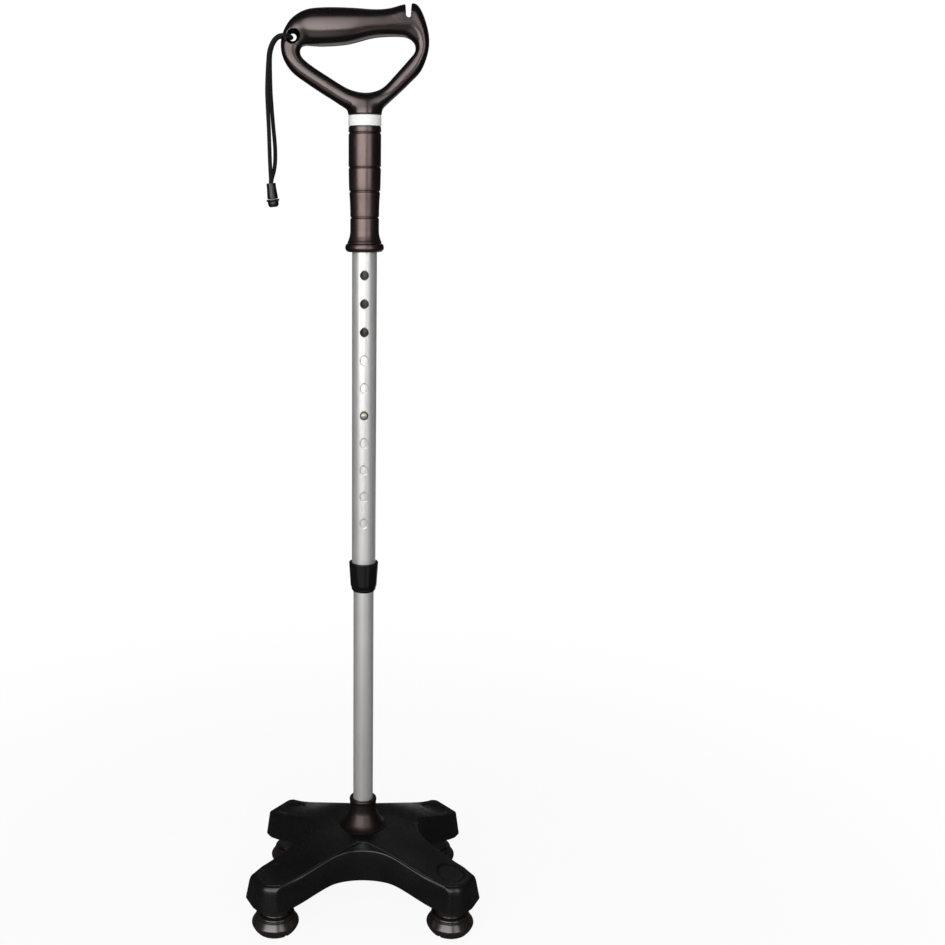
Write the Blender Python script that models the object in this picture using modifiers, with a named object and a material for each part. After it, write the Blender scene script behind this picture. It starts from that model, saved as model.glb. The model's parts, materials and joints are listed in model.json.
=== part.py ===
"""A telescopic cane on a four-legged base.

A D-shaped handle tops a tube that slides over a thinner one. A snap button holds the height in one
of ten holes, and an X-shaped hollow base stands the thinner tube on four rubber feet.

Metres, +Z up. The origin is on the floor, under the common axis of both tubes. The handle lies
along X, and the wider pair of legs points to -Y. A plan radius is a distance from the tubes' axis.
"""

import math

import bmesh
import bpy
from mathutils import Matrix, Vector

# What pieces that touch keep between them
GAP = 0.0003
MERGE = 0.00001

# Tubes
OUTER_RADIUS = 0.0110
OUTER_BORE = 0.0100
OUTER_LOW = 0.3223
OUTER_HIGH = 0.7520
INNER_RADIUS = 0.0095
INNER_BORE = 0.0083
INNER_LOW = 0.0448
INNER_HIGH = 0.5450
TUBE_STEPS = 28

# The row of adjustment holes in the upper tube, counted from the top
HOLE_COUNT = 10
HOLE_PITCH = 0.0250
HOLE_TOP = 0.6070
HOLE_RADIUS = 0.0040
BUTTON_HOLE = 6
BUTTON_Z = HOLE_TOP - (BUTTON_HOLE - 1) * HOLE_PITCH

# Snap button and its leaf spring
BUTTON_RADIUS = 0.0035
BUTTON_TIP_Y = -0.0126
BUTTON_FOOT_Y = -0.0058
SPRING_WIDTH = 0.0060
SPRING_THICKNESS = 0.0006

# Locking ring
COLLAR_LOW = 0.3145
COLLAR_HIGH = 0.3427
COLLAR_TOP_RADIUS = 0.01365
COLLAR_LOW_RADIUS = 0.01225
COLLAR_FLUTES = 12

# Handle neck, the pale band that covers its cross pin, and the grip sleeve
NECK_RADIUS = 0.01445
NECK_LOW = 0.7431
SKIRT_RADIUS = 0.0127
SKIRT_LOW = 0.7343
BAND_RADIUS = 0.0142
PIN_Z = 0.7385
PIN_RADIUS = 0.0016
SLEEVE_LOW = 0.6270
SLEEVE_HIGH = 0.7336
SLEEVE_GROOVES = (0.7283, 0.6994, 0.6790, 0.6568, 0.6348)
GROOVE_HALF = 0.0006
GROOVE_DEPTH = 0.0006

# Handle loop. Each station is (outer x, outer z, inner x, inner z, depth along Y), clockwise seen from
# behind, from the loop's lowest place over the strap's side to the notched horn.
LOOP_STATIONS = (
    (0.0000, 0.7440, -0.0010, 0.7616, 0.0265),
    (-0.0150, 0.7475, -0.0110, 0.7637, 0.0215),
    (-0.0287, 0.7556, -0.0207, 0.7683, 0.0175),
    (-0.0496, 0.7688, -0.0416, 0.7808, 0.0165),
    (-0.0625, 0.7783, -0.0515, 0.7880, 0.0160),
    (-0.0697, 0.7890, -0.0549, 0.7924, 0.0155),
    (-0.0719, 0.8000, -0.0552, 0.7962, 0.0140),
    (-0.0697, 0.8110, -0.0534, 0.7988, 0.0145),
    (-0.0625, 0.8218, -0.0495, 0.7997, 0.0195),
    (-0.0502, 0.8287, -0.0440, 0.7994, 0.0275),
    (-0.0340, 0.8305, -0.0340, 0.7992, 0.0310),
    (-0.0121, 0.8302, -0.0145, 0.8008, 0.0300),
    (0.0070, 0.8290, 0.0060, 0.8058, 0.0270),
    (0.0200, 0.8298, 0.0200, 0.8071, 0.0245),
    (0.0335, 0.8332, 0.0320, 0.8069, 0.0225),
    (0.0433, 0.8332, 0.0378, 0.8052, 0.0205),
    (0.0497, 0.8238, 0.0415, 0.8020, 0.0185),
    (0.0542, 0.8085, 0.0429, 0.7984, 0.0170),
    (0.0538, 0.7948, 0.0420, 0.7940, 0.0165),
    (0.0480, 0.7797, 0.0365, 0.7876, 0.0165),
    (0.0378, 0.7688, 0.0269, 0.7772, 0.0165),
    (0.0237, 0.7556, 0.0160, 0.7664, 0.0175),
    (0.0130, 0.7470, 0.0075, 0.7625, 0.0220),
)
LOOP_BETWEEN = 1
LOOP_SIDES = 14
NOTCH_X = 0.0366
NOTCH_HALF = 0.0023
NOTCH_BOTTOM = 0.8214
NOTCH_HEIGHT = 0.0300
EYELET = Vector((-0.0615, 0.0, 0.8064))
EYELET_RADIUS = 0.0033
EYELET_RIM = 0.0051

# Base. Its top and its skirt's edge both sink outwards, between two plan radii.
TOP_HEIGHT = 0.0760
TOP_DROP = 0.0195
TOP_SLOPE = (0.0300, 0.1180)
SKIRT_HEIGHT = 0.0420
SKIRT_DROP = 0.0100
SKIRT_SLOPE = (0.0550, 0.1100)
FOOT_Y = 0.0605
FRONT_FOOT_X = 0.0823
REAR_FOOT_X = 0.0727
SHELL_THICKNESS = 0.0032
CEILING_SHARE = 1 - SHELL_THICKNESS / (TOP_HEIGHT - SKIRT_HEIGHT)
GRID_PITCH = 0.0160
SIDE_PIECE = 0.0220
ARC_STEP_DEGREES = 18

# Its walls lean in by WALL_LEAN, then bend over to the top: little along the legs, more round the front
# tips, where the bend grows between two plan radii. Each step of the bend has a share inwards and down.
WALL_LEAN = 0.0032
LEG_EDGE = 0.0011
TIP_EDGE = 0.0040
TIP_FALL = 0.0078
EDGE_BEND = ((0.0, 1.0), (0.36, 0.34), (1.0, 0.0))
TIP_REACH = (0.0850, 0.1080)
LEAST_CORNER = 0.0025

# Its outline's corners: (x, y, rounding radius, share of the lean)
FRONT_ARCH_CORNER = (0.0177, 0.0480, 0.0570, 0.0)
REAR_ARCH_CORNER = (0.0177, 0.0480, 0.0570, 1.7)
SIDE_CORNER = (0.0570, 0.0129, 0.0220, 1.0)

# A leg's tip, as corners from its foot's centre: (outwards along X, outwards along Y, rounding radius)
FRONT_TIP = (
    (-0.0043, 0.0282, 0.0080),
    (0.0142, 0.0282, 0.0225),
    (0.0284, -0.0010, 0.0060),
    (0.0220, -0.0110, 0.0120),
)
REAR_TIP = (
    (-0.0017, 0.0280, 0.0060),
    (0.0066, 0.0283, 0.0090),
    (0.0277, -0.0010, 0.0050),
    (0.0220, -0.0110, 0.0120),
)

# Below the base's skin
HUB_BOSS_RADIUS = 0.0150
HUB_BOSS_LOW = 0.0380
HUB_BOSS_HIGH = TOP_HEIGHT - 0.0015
HUB_FLOOR = 0.0445
HUB_TOP = 0.1040
TIP_BOSS_RADIUS = 0.0115
TIP_BOSS_LOW = 0.0315
TIP_BOSS_HIGH = 0.0540
RIB_THICKNESS = 0.0024
RIB_START = 0.010
RIB_END = 0.005
RIB_SHARES = (0.30, 0.945)
BOLT_RADIUS = 0.0040
BOLT_HOLE = 0.0043

# Rubber feet and what holds them
FOOT_TOP = 0.0294
FOOT_BOTTOM_RADIUS = 0.0175
FOOT_RADIUS = 0.0222
FOOT_NECK_RADIUS = 0.0135
STUD_RADIUS = 0.0040
STUD_HOLE = 0.0043
STUD_LOW = 0.0090
STUD_HIGH = 0.0470
TREAD_WIDTH = 0.0028
TREAD_DEPTH = 0.0028

# Wrist strap. The route runs from the bell up behind the handle, through the eyelet from the
# back, and down in front of it to the bell again.
CORD_DIAMETER = 0.0035
CORD_ROUTE = (
    (-0.0817, 0.0018, 0.6856),
    (-0.0810, 0.0019, 0.6898),
    (-0.0790, 0.0024, 0.6970),
    (-0.0780, 0.0030, 0.7056),
    (-0.0781, 0.0036, 0.7176),
    (-0.0794, 0.0042, 0.7333),
    (-0.0805, 0.0048, 0.7475),
    (-0.0815, 0.0060, 0.7653),
    (-0.0818, 0.0080, 0.7890),
    (-0.0807, 0.0095, 0.7978),
    (-0.0782, 0.0108, 0.8041),
    (-0.0745, 0.0118, 0.8080),
    (-0.0702, 0.0127, 0.8085),
    (-0.0660, 0.0110, 0.8075),
    (-0.0636, 0.0062, 0.8067),
    (-0.0627, 0.0000, 0.8064),
    (-0.0636, -0.0062, 0.8064),
    (-0.0658, -0.0110, 0.8065),
    (-0.0692, -0.0127, 0.8066),
    (-0.0735, -0.0118, 0.8056),
    (-0.0774, -0.0108, 0.8021),
    (-0.0805, -0.0095, 0.7958),
    (-0.0820, -0.0080, 0.7872),
    (-0.0835, -0.0060, 0.7642),
    (-0.0832, -0.0048, 0.7467),
    (-0.0827, -0.0042, 0.7327),
    (-0.0824, -0.0036, 0.7172),
    (-0.0822, -0.0030, 0.7053),
    (-0.0819, -0.0024, 0.6961),
    (-0.0817, -0.0019, 0.6897),
    (-0.0817, -0.0018, 0.6856),
)
CORD_STEPS = 78
BELL_TOP = Vector((-0.0817, 0.0, 0.6853))
BELL_LEAN = math.radians(6.0)
BELL_LENGTH = 0.0130
PLUG_LENGTH = 0.0066

LEFT, RIGHT = -1, 1
FRONT, REAR = -1, 1
LEGS = {
    "front_left": (LEFT, FRONT),
    "front_right": (RIGHT, FRONT),
    "rear_left": (LEFT, REAR),
    "rear_right": (RIGHT, REAR),
}


def clear_scene():
    for old in list(bpy.data.objects):
        bpy.data.objects.remove(old, do_unlink=True)


def collection(name):
    made = bpy.data.collections.new(name)
    bpy.context.scene.collection.children.link(made)
    return made


def finish(name, colour, roughness, metallic=0.0):
    """A Principled material."""
    material = bpy.data.materials.new(name)
    material.use_nodes = True
    shader = material.node_tree.nodes["Principled BSDF"]
    shader.inputs["Base Color"].default_value = (*colour, 1.0)
    shader.inputs["Roughness"].default_value = roughness
    shader.inputs["Metallic"].default_value = metallic
    return material


def place(name, mesh, group, material=None):
    """A new object of this mesh, in a collection."""
    made = bpy.data.objects.new(name, mesh)
    group.objects.link(made)
    if material is not None:
        mesh.materials.append(material)
    return made


def mesh_from(name, build):
    """A mesh that a function fills in, with its faces turned outwards."""
    work = bmesh.new()
    build(work)
    bmesh.ops.recalc_face_normals(work, faces=work.faces)
    mesh = bpy.data.meshes.new(name)
    work.to_mesh(mesh)
    work.free()
    return mesh


def turned(name, profile, group, material=None, steps=TUBE_STEPS, ring=True):
    """A piece turned round Z. The profile of (radius, z) runs down its outer side, and back up a bore."""
    mesh = bpy.data.meshes.new(name)
    edges = [(i, i + 1) for i in range(len(profile) - 1)]
    if ring:
        edges.append((len(profile) - 1, 0))
    mesh.from_pydata([(radius, 0.0, z) for radius, z in profile], edges, [])
    made = place(name, mesh, group, material)
    screw = made.modifiers.new("turn", "SCREW")
    screw.axis = "Z"
    screw.steps = steps
    screw.render_steps = steps
    screw.use_merge_vertices = True
    screw.merge_threshold = MERGE
    screw.use_smooth_shade = True
    return made


def applied(made):
    """The object with its modifiers baked into its mesh, shaded smooth but for its sharp edges."""
    evaluated = made.evaluated_get(bpy.context.evaluated_depsgraph_get())
    mesh = bpy.data.meshes.new_from_object(evaluated)
    made.modifiers.clear()
    made.data = mesh
    mesh.shade_smooth()
    mesh.set_sharp_from_angle(angle=math.radians(35))
    return made


def combine(made, other, operation):
    """Adds one Boolean to an object and bakes it."""
    modifier = made.modifiers.new(operation.lower(), "BOOLEAN")
    modifier.object = other
    modifier.operation = operation
    modifier.solver = "EXACT"
    return applied(made)


def hidden(made):
    """Marks a cutter, which shapes other pieces and is no piece itself."""
    made.hide_render = True
    made.display_type = "WIRE"
    return made


def rod_mesh(name, radius, length, steps, matrix):
    """A plain cylinder, centred on its place, with its axis along the matrix's Z."""
    def build(work):
        bmesh.ops.create_cone(
            work, cap_ends=True, segments=steps, radius1=radius, radius2=radius,
            depth=length, matrix=matrix,
        )
    return mesh_from(name, build)


def box_mesh(name, size, matrix):
    """A plain box, centred on its place."""
    def build(work):
        bmesh.ops.create_cube(work, size=1.0, matrix=matrix @ Matrix.Diagonal((*size, 1.0)))
    return mesh_from(name, build)


def along_y(x, y, z):
    """A frame at this place whose Z axis points along Y."""
    return Matrix.Translation((x, y, z)) @ Matrix.Rotation(math.radians(90), 4, "X")


def smooth_through(points, between, closed):
    """Points along a smooth curve through the given ones, with some more between each two."""
    count = len(points)
    spans = count if closed else count - 1
    found = []
    for i in range(spans):
        if closed:
            before, start, end, after = (points[(i + k) % count] for k in (-1, 0, 1, 2))
        else:
            before, start = points[max(i - 1, 0)], points[i]
            end, after = points[i + 1], points[min(i + 2, count - 1)]
        for k in range(between + 1):
            t = k / (between + 1)
            found.append([
                0.5 * (2 * b + (c - a) * t + (2 * a - 5 * b + 4 * c - d) * t**2
                       + (3 * b - a - 3 * c + d) * t**3)
                for a, b, c, d in zip(before, start, end, after)
            ])
    if not closed:
        found.append(list(points[-1]))
    return found


def evenly_along(points, count):
    """The same line, with this many points at even steps."""
    places = [Vector(p) for p in points]
    along = [0.0]
    for a, b in zip(places, places[1:]):
        along.append(along[-1] + (b - a).length)
    found, i = [], 0
    for k in range(count):
        at = along[-1] * k / (count - 1)
        while i < len(places) - 2 and along[i + 1] < at:
            i += 1
        share = (at - along[i]) / (along[i + 1] - along[i])
        found.append(places[i].lerp(places[i + 1], share))
    return found


def hole_heights():
    return [HOLE_TOP - k * HOLE_PITCH for k in range(HOLE_COUNT)]


def tube_profile(outer, bore, low, high):
    return [(outer, high), (outer, low), (bore, low), (bore, high)]


def make_outer_tube(parts, cutters, material):
    tube = turned("outer_tube", tube_profile(OUTER_RADIUS, OUTER_BORE, OUTER_LOW, OUTER_HIGH), parts, material)

    def holes(work):
        for z in hole_heights():
            bmesh.ops.create_cone(
                work, cap_ends=True, segments=16, radius1=HOLE_RADIUS, radius2=HOLE_RADIUS,
                depth=OUTER_RADIUS, matrix=along_y(0.0, -OUTER_RADIUS, z),
            )
    cutter = hidden(place("cut_height_holes", mesh_from("cut_height_holes", holes), cutters))
    combine(tube, cutter, "DIFFERENCE")
    combine(tube, pin_cutter(cutters), "DIFFERENCE")


def pin_cutter(cutters):
    """The hole of the cross pin through handle skirt and tube."""
    name = "cut_pin_hole"
    if name in bpy.data.objects:
        return bpy.data.objects[name]
    mesh = rod_mesh(name, PIN_RADIUS + GAP, 4 * OUTER_RADIUS, 12, along_y(0.0, 0.0, PIN_Z))
    return hidden(place(name, mesh, cutters))


def make_inner_tube(parts, cutters, material):
    tube = turned("inner_tube", tube_profile(INNER_RADIUS, INNER_BORE, INNER_LOW, INNER_HIGH), parts, material)
    mesh = rod_mesh(
        "cut_button_hole", BUTTON_RADIUS + GAP, INNER_RADIUS, 16, along_y(0.0, -INNER_RADIUS, BUTTON_Z)
    )
    combine(tube, hidden(place("cut_button_hole", mesh, cutters)), "DIFFERENCE")


def make_inner_tube_guide(parts, material):
    cap_radius = INNER_RADIUS + 0.0001
    stem_radius = INNER_BORE - GAP
    profile = [
        (0.0, INNER_HIGH + 0.0040),
        (cap_radius - 0.0010, INNER_HIGH + 0.0040),
        (cap_radius, INNER_HIGH + 0.0030),
        (cap_radius, INNER_HIGH + GAP),
        (stem_radius, INNER_HIGH + GAP),
        (stem_radius, INNER_HIGH - 0.0120),
        (0.0, INNER_HIGH - 0.0120),
    ]
    applied(turned("inner_tube_guide", profile, parts, material, ring=False))


def make_snap_button(parts, material):
    """A domed pin that points to -Y, with a flange inside the inner tube."""
    dome = 0.0014
    length = BUTTON_FOOT_Y - BUTTON_TIP_Y
    profile = [(BUTTON_RADIUS * math.sin(a), length - dome * (1 - math.cos(a)))
               for a in (math.radians(d) for d in (0, 30, 55, 75, 90))]
    flange = 0.0006
    profile += [(BUTTON_RADIUS, flange), (0.0045, flange), (0.0045, 0.0), (0.0, 0.0)]
    button = applied(turned("snap_button", profile, parts, material, steps=20, ring=False))
    button.location = (0.0, BUTTON_FOOT_Y, BUTTON_Z)
    button.rotation_euler = (math.radians(90), 0.0, 0.0)


def make_button_spring(parts, material):
    """A V-shaped leaf inside the inner tube, as (y, z) along its strip."""
    leaf_y = BUTTON_FOOT_Y + GAP + SPRING_THICKNESS
    route = [
        (leaf_y, BUTTON_Z + 0.0065, 0.0),
        (leaf_y, BUTTON_Z - 0.0065, 0.0),
        (leaf_y + 0.0015, BUTTON_Z - 0.0280, 0.0),
        (-0.0014, BUTTON_Z - 0.0370, 0.0),
        (0.0012, BUTTON_Z - 0.0372, 0.0),
        (0.0036, BUTTON_Z - 0.0280, 0.0),
        (0.0071, BUTTON_Z + 0.0040, 0.0),
    ]
    line = smooth_through(route, 3, closed=False)

    def build(work):
        rows = [
            [work.verts.new((x, y, z)) for x in (-SPRING_WIDTH / 2, SPRING_WIDTH / 2)]
            for y, z, _ in line
        ]
        for low, high in zip(rows, rows[1:]):
            work.faces.new((low[0], low[1], high[1], high[0]))
    spring = place("button_spring", mesh_from("button_spring", build), parts, material)
    thick = spring.modifiers.new("thickness", "SOLIDIFY")
    thick.thickness = SPRING_THICKNESS
    thick.offset = 0.0
    applied(spring)


def make_lock_collar(parts, cutters, material):
    bore = OUTER_RADIUS + GAP
    lip_bore = INNER_RADIUS + 0.0004
    seat = COLLAR_LOW + 0.0018
    profile = [
        (bore + 0.0004, COLLAR_HIGH),
        (COLLAR_TOP_RADIUS - 0.0008, COLLAR_HIGH),
        (COLLAR_TOP_RADIUS, COLLAR_HIGH - 0.0010),
        (COLLAR_LOW_RADIUS, COLLAR_LOW + 0.0060),
        (COLLAR_LOW_RADIUS - 0.0012, COLLAR_LOW + 0.0022),
        (lip_bore + 0.0004, COLLAR_LOW),
        (lip_bore, COLLAR_LOW),
        (lip_bore, seat),
        (bore, seat),
        (bore, COLLAR_HIGH - 0.0005),
    ]
    collar = turned("lock_collar", profile, parts, material, steps=COLLAR_FLUTES * 4)

    def flutes(work):
        height = COLLAR_HIGH - COLLAR_LOW
        for k in range(COLLAR_FLUTES):
            turn = Matrix.Rotation(math.tau * (k + 0.5) / COLLAR_FLUTES, 4, "Z")
            at = Matrix.Translation((COLLAR_TOP_RADIUS + 0.0012, 0.0, COLLAR_LOW + height * 0.45))
            lean = Matrix.Rotation(-math.atan2(COLLAR_TOP_RADIUS - COLLAR_LOW_RADIUS, height), 4, "Y")
            bmesh.ops.create_cone(
                work, cap_ends=True, segments=10, radius1=0.0021, radius2=0.0021,
                depth=height * 0.66, matrix=turn @ at @ lean.inverted(),
            )
    cutter = hidden(place("cut_flutes", mesh_from("cut_flutes", flutes), cutters))
    combine(collar, cutter, "DIFFERENCE")


def make_collar_bush(parts, cutters, material):
    """A split ring under the upper tube's end, round the lower tube."""
    low, high = COLLAR_LOW + 0.0018 + GAP, OUTER_LOW - GAP
    bore, outer = INNER_RADIUS + GAP, OUTER_RADIUS
    profile = [(outer, high), (outer, low + 0.0008), (outer - 0.0008, low), (bore, low), (bore, high)]
    bush = turned("collar_bush", profile, parts, material)

    slit = box_mesh("cut_bush_slit", (0.0012, outer, 0.02), Matrix.Translation((0.0, outer, (low + high) / 2)))
    combine(bush, hidden(place("cut_bush_slit", slit, cutters)), "DIFFERENCE")


def loop_ring(station):
    """The points round one section of the handle loop, from its outer edge to its inner and back."""
    outer_x, outer_z, inner_x, inner_z, depth = station
    middle = Vector(((outer_x + inner_x) / 2, 0.0, (outer_z + inner_z) / 2))
    across = Vector((outer_x, 0.0, outer_z)) - middle
    fullness = 0.88
    ring = []
    for k in range(LOOP_SIDES):
        angle = math.tau * k / LOOP_SIDES
        c, s = math.cos(angle), math.sin(angle)
        wide = math.copysign(abs(c) ** fullness, c)
        deep = math.copysign(abs(s) ** fullness, s)
        ring.append(middle + across * wide + Vector((0.0, depth / 2 * deep, 0.0)))
    return ring


def loop_mesh():
    """The handle's closed loop, lofted through its stations."""
    rings = [loop_ring(s) for s in smooth_through(LOOP_STATIONS, LOOP_BETWEEN, closed=True)]

    def build(work):
        rows = [[work.verts.new(p) for p in ring] for ring in rings]
        for row, after in zip(rows, rows[1:] + rows[:1]):
            for k in range(LOOP_SIDES):
                m = (k + 1) % LOOP_SIDES
                work.faces.new((row[k], row[m], after[m], after[k]))
    return mesh_from("handle_frame", build)


def notch_cutter(cutters):
    """The hanging notch: a slot with a round bottom."""
    round_z = NOTCH_BOTTOM + NOTCH_HALF

    def build(work):
        bmesh.ops.create_cone(
            work, cap_ends=True, segments=16, radius1=NOTCH_HALF, radius2=NOTCH_HALF,
            depth=0.05, matrix=along_y(NOTCH_X, 0.0, round_z),
        )
        for v in work.verts:
            if v.co.z > round_z + MERGE:
                v.co.z += NOTCH_HEIGHT
    return hidden(place("cut_notch", mesh_from("cut_notch", build), cutters))


def eyelet_cutter(cutters):
    """The strap's eyelet, countersunk on both sides."""
    half = 0.016
    rim_y = 0.0052
    mouth = EYELET_RIM + 0.0030
    profile = [
        (0.0, half),
        (mouth, half),
        (EYELET_RIM, rim_y),
        (EYELET_RADIUS, rim_y - 0.0022),
        (EYELET_RADIUS, -rim_y + 0.0022),
        (EYELET_RIM, -rim_y),
        (mouth, -half),
        (0.0, -half),
    ]
    cutter = turned("cut_eyelet", profile, cutters, steps=20, ring=False)
    cutter.location = EYELET
    cutter.rotation_euler = (math.radians(90), 0.0, 0.0)
    return hidden(cutter)


def make_handle(parts, cutters, material):
    """Loop and neck in one piece, with a socket for the tube."""
    handle = place("handle_frame", loop_mesh(), parts, material)
    neck_profile = [
        (0.0, 0.7594),
        (0.0060, 0.7586),
        (0.0105, 0.7560),
        (0.0140, 0.7512),
        (0.0150, 0.7468),
        (NECK_RADIUS, NECK_LOW),
        (SKIRT_RADIUS, NECK_LOW),
        (SKIRT_RADIUS, SKIRT_LOW),
        (0.0, SKIRT_LOW),
    ]
    neck = hidden(turned("add_neck", neck_profile, cutters, steps=TUBE_STEPS, ring=False))
    combine(handle, neck, "UNION")
    socket_top = OUTER_HIGH + GAP
    socket = rod_mesh(
        "cut_tube_socket", OUTER_RADIUS + GAP, 2 * (socket_top - 0.7), TUBE_STEPS,
        Matrix.Translation((0.0, 0.0, 0.7)),
    )
    combine(handle, hidden(place("cut_tube_socket", socket, cutters)), "DIFFERENCE")
    combine(handle, pin_cutter(cutters), "DIFFERENCE")
    combine(handle, notch_cutter(cutters), "DIFFERENCE")
    combine(handle, eyelet_cutter(cutters), "DIFFERENCE")


def make_handle_pin(parts, material):
    length = 2 * (SKIRT_RADIUS - 0.0004)
    mesh = rod_mesh("handle_pin", PIN_RADIUS, length, 12, along_y(0.0, 0.0, 0.0))
    place("handle_pin", mesh, parts, material).location = (0.0, 0.0, PIN_Z)


def make_white_band(parts, material):
    low, high = SLEEVE_HIGH + GAP, NECK_LOW - GAP
    bore, edge = SKIRT_RADIUS + GAP, 0.0004
    profile = [
        (bore, high),
        (BAND_RADIUS - edge, high),
        (BAND_RADIUS, high - edge),
        (BAND_RADIUS, low + edge),
        (BAND_RADIUS - edge, low),
        (bore, low),
    ]
    applied(turned("white_band", profile, parts, material))


def sleeve_outline():
    """The grip sleeve's outer side, top to bottom, before its grooves."""
    return [
        (0.0137, SLEEVE_HIGH),
        (0.0141, SLEEVE_HIGH - 0.0006),
        (0.0141, 0.6994),
        (0.0138, 0.6845),
        (0.01355, 0.6790),
        (0.0130, 0.6718),
        (0.01265, 0.6630),
        (0.0126, 0.6445),
        (0.0131, 0.6405),
        (0.0145, 0.6365),
        (0.0166, 0.6332),
        (0.01725, 0.6305),
        (0.0166, 0.6288),
        (0.0148, SLEEVE_LOW),
    ]


def radius_at(outline, z):
    for (top_radius, top), (low_radius, low) in zip(outline, outline[1:]):
        if low <= z <= top:
            return low_radius + (top_radius - low_radius) * (z - low) / (top - low)
    raise ValueError(f"no outline at {z}")


def make_sleeve_grip(parts, material):
    outline = sleeve_outline()
    grooved = list(outline)
    for z in SLEEVE_GROOVES:
        grooved = [p for p in grooved if abs(p[1] - z) > GROOVE_HALF]
        for step, depth in ((GROOVE_HALF, 0.0), (0.0, GROOVE_DEPTH), (-GROOVE_HALF, 0.0)):
            grooved.append((radius_at(outline, z + step) - depth, z + step))
    grooved.sort(key=lambda p: -p[1])
    bore = OUTER_RADIUS + GAP
    applied(turned("sleeve_grip", grooved + [(bore, SLEEVE_LOW), (bore, SLEEVE_HIGH)], parts, material))


def sink(radius, slope):
    """How far, from 0 to 1, a surface of the base has sunk at a plan radius."""
    start, end = slope
    t = min(max((radius - start) / (end - start), 0.0), 1.0)
    return t * t * (3 - 2 * t)


def base_height(x, y, share):
    """The height above the floor, from the skirt's edge (share 0) to the top skin (share 1)."""
    radius = math.hypot(x, y)
    low = SKIRT_HEIGHT - SKIRT_DROP * sink(radius, SKIRT_SLOPE)
    high = TOP_HEIGHT - TOP_DROP * sink(radius, TOP_SLOPE)
    return low + share * (high - low)


def foot_x(side_y):
    return FRONT_FOOT_X if side_y == FRONT else REAR_FOOT_X


def edge_size(x, y):
    """How far below the top its rounded edge begins."""
    if y > 0:
        return LEG_EDGE
    return LEG_EDGE + (TIP_FALL - LEG_EDGE) * sink(math.hypot(x, y), TIP_REACH)


def quarter_corners(side_x, side_y):
    """One leg's corners (x, y, radius, lean share, at front tip), from its arch's middle to the side notch."""
    front = side_y == FRONT
    arch, tip = (FRONT_ARCH_CORNER, FRONT_TIP) if front else (REAR_ARCH_CORNER, REAR_TIP)
    corners = [(*arch, False)]
    corners += [(foot_x(side_y) + dx, FOOT_Y + dy, radius, 1.0, front) for dx, dy, radius in tip]
    corners += [(*SIDE_CORNER, False)]
    return [(side_x * x, side_y * y, *rest) for x, y, *rest in corners]


def base_corners():
    """The base's corners in plan, anticlockwise seen from above."""
    return (
        quarter_corners(RIGHT, FRONT)
        + quarter_corners(RIGHT, REAR)[::-1]
        + quarter_corners(LEFT, REAR)
        + quarter_corners(LEFT, FRONT)[::-1]
    )


def moved_corners(inset, lean, leg_rim, tip_rim):
    """The outline's corners moved inwards, with their radii, negative where the corner is hollow.

    A side between two corners of a front tip moves in by the tip's rim, any other side by the leg's.
    """
    corners = base_corners()
    found = []
    for i, (x, y, radius, share, at_tip) in enumerate(corners):
        last, following = corners[i - 1], corners[(i + 1) % len(corners)]
        here = Vector((x, y))
        before = (here - Vector(last[:2])).normalized()
        after = (Vector(following[:2]) - here).normalized()
        by = inset + lean * share
        by_before = by + (tip_rim if at_tip and last[4] else leg_rim)
        by_after = by + (tip_rim if at_tip and following[4] else leg_rim)
        turn = before.cross(after)
        middle = (by_before + by_after) / 2
        size = max(radius - middle, LEAST_CORNER) if turn > 0 else -(radius + middle)
        found.append((here + (after * by_before - before * by_after) / turn, size))
    return found


def corner_arc(before, corner, after, steps):
    """The rounded corner between its neighbours, as points."""
    here, radius = corner
    inwards = (here - before).normalized()
    outwards = (after - here).normalized()
    turn = inwards.angle(outwards)
    reach = abs(radius) * math.tan(turn / 2)
    centre = here + (outwards - inwards).normalized() * abs(radius) / math.cos(turn / 2)
    start = here - inwards * reach - centre
    side = math.copysign(1, radius)
    return [centre + Matrix.Rotation(side * turn * k / steps, 2) @ start for k in range(steps + 1)]


def base_outline(inset, lean, leg_rim=0.0, tip_rim=0.0):
    """The base's outline in plan. Whatever its sizes, it has the same number of points, corner for corner."""
    plain = [Vector(corner[:2]) for corner in base_corners()]
    corners = moved_corners(inset, lean, leg_rim, tip_rim)
    count = len(corners)
    arcs, pieces = [], []
    for i in range(count):
        after = (i + 1) % count
        turn = math.degrees((plain[i] - plain[i - 1]).angle(plain[after] - plain[i]))
        steps = max(2, round(turn / ARC_STEP_DEGREES))
        arcs.append(corner_arc(corners[i - 1][0], corners[i], corners[after][0], steps))
        pieces.append(max(1, round((plain[after] - plain[i]).length / SIDE_PIECE)))
    points = []
    for i, arc in enumerate(arcs):
        start = arcs[(i + 1) % count][0]
        points += arc + [arc[-1].lerp(start, k / pieces[i]) for k in range(1, pieces[i])]
    return points


def skin_rows():
    """The base's skin as rows of points: down inside, round the lower edge, up the walls to the top."""
    rows = [
        [(*point, base_height(*point, share)) for point in base_outline(inset, lean)]
        for inset, lean, share in (
            (SHELL_THICKNESS, WALL_LEAN, CEILING_SHARE),
            (SHELL_THICKNESS, 0.0, 0.0),
            (0.0, 0.0, 0.0),
        )
    ]
    for inwards, down in EDGE_BEND:
        outline = base_outline(0.0, WALL_LEAN, LEG_EDGE * inwards, TIP_EDGE * inwards)
        rows.append([(*p, base_height(*p, 1.0) - edge_size(*p) * down) for p in outline])
    return rows


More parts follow.
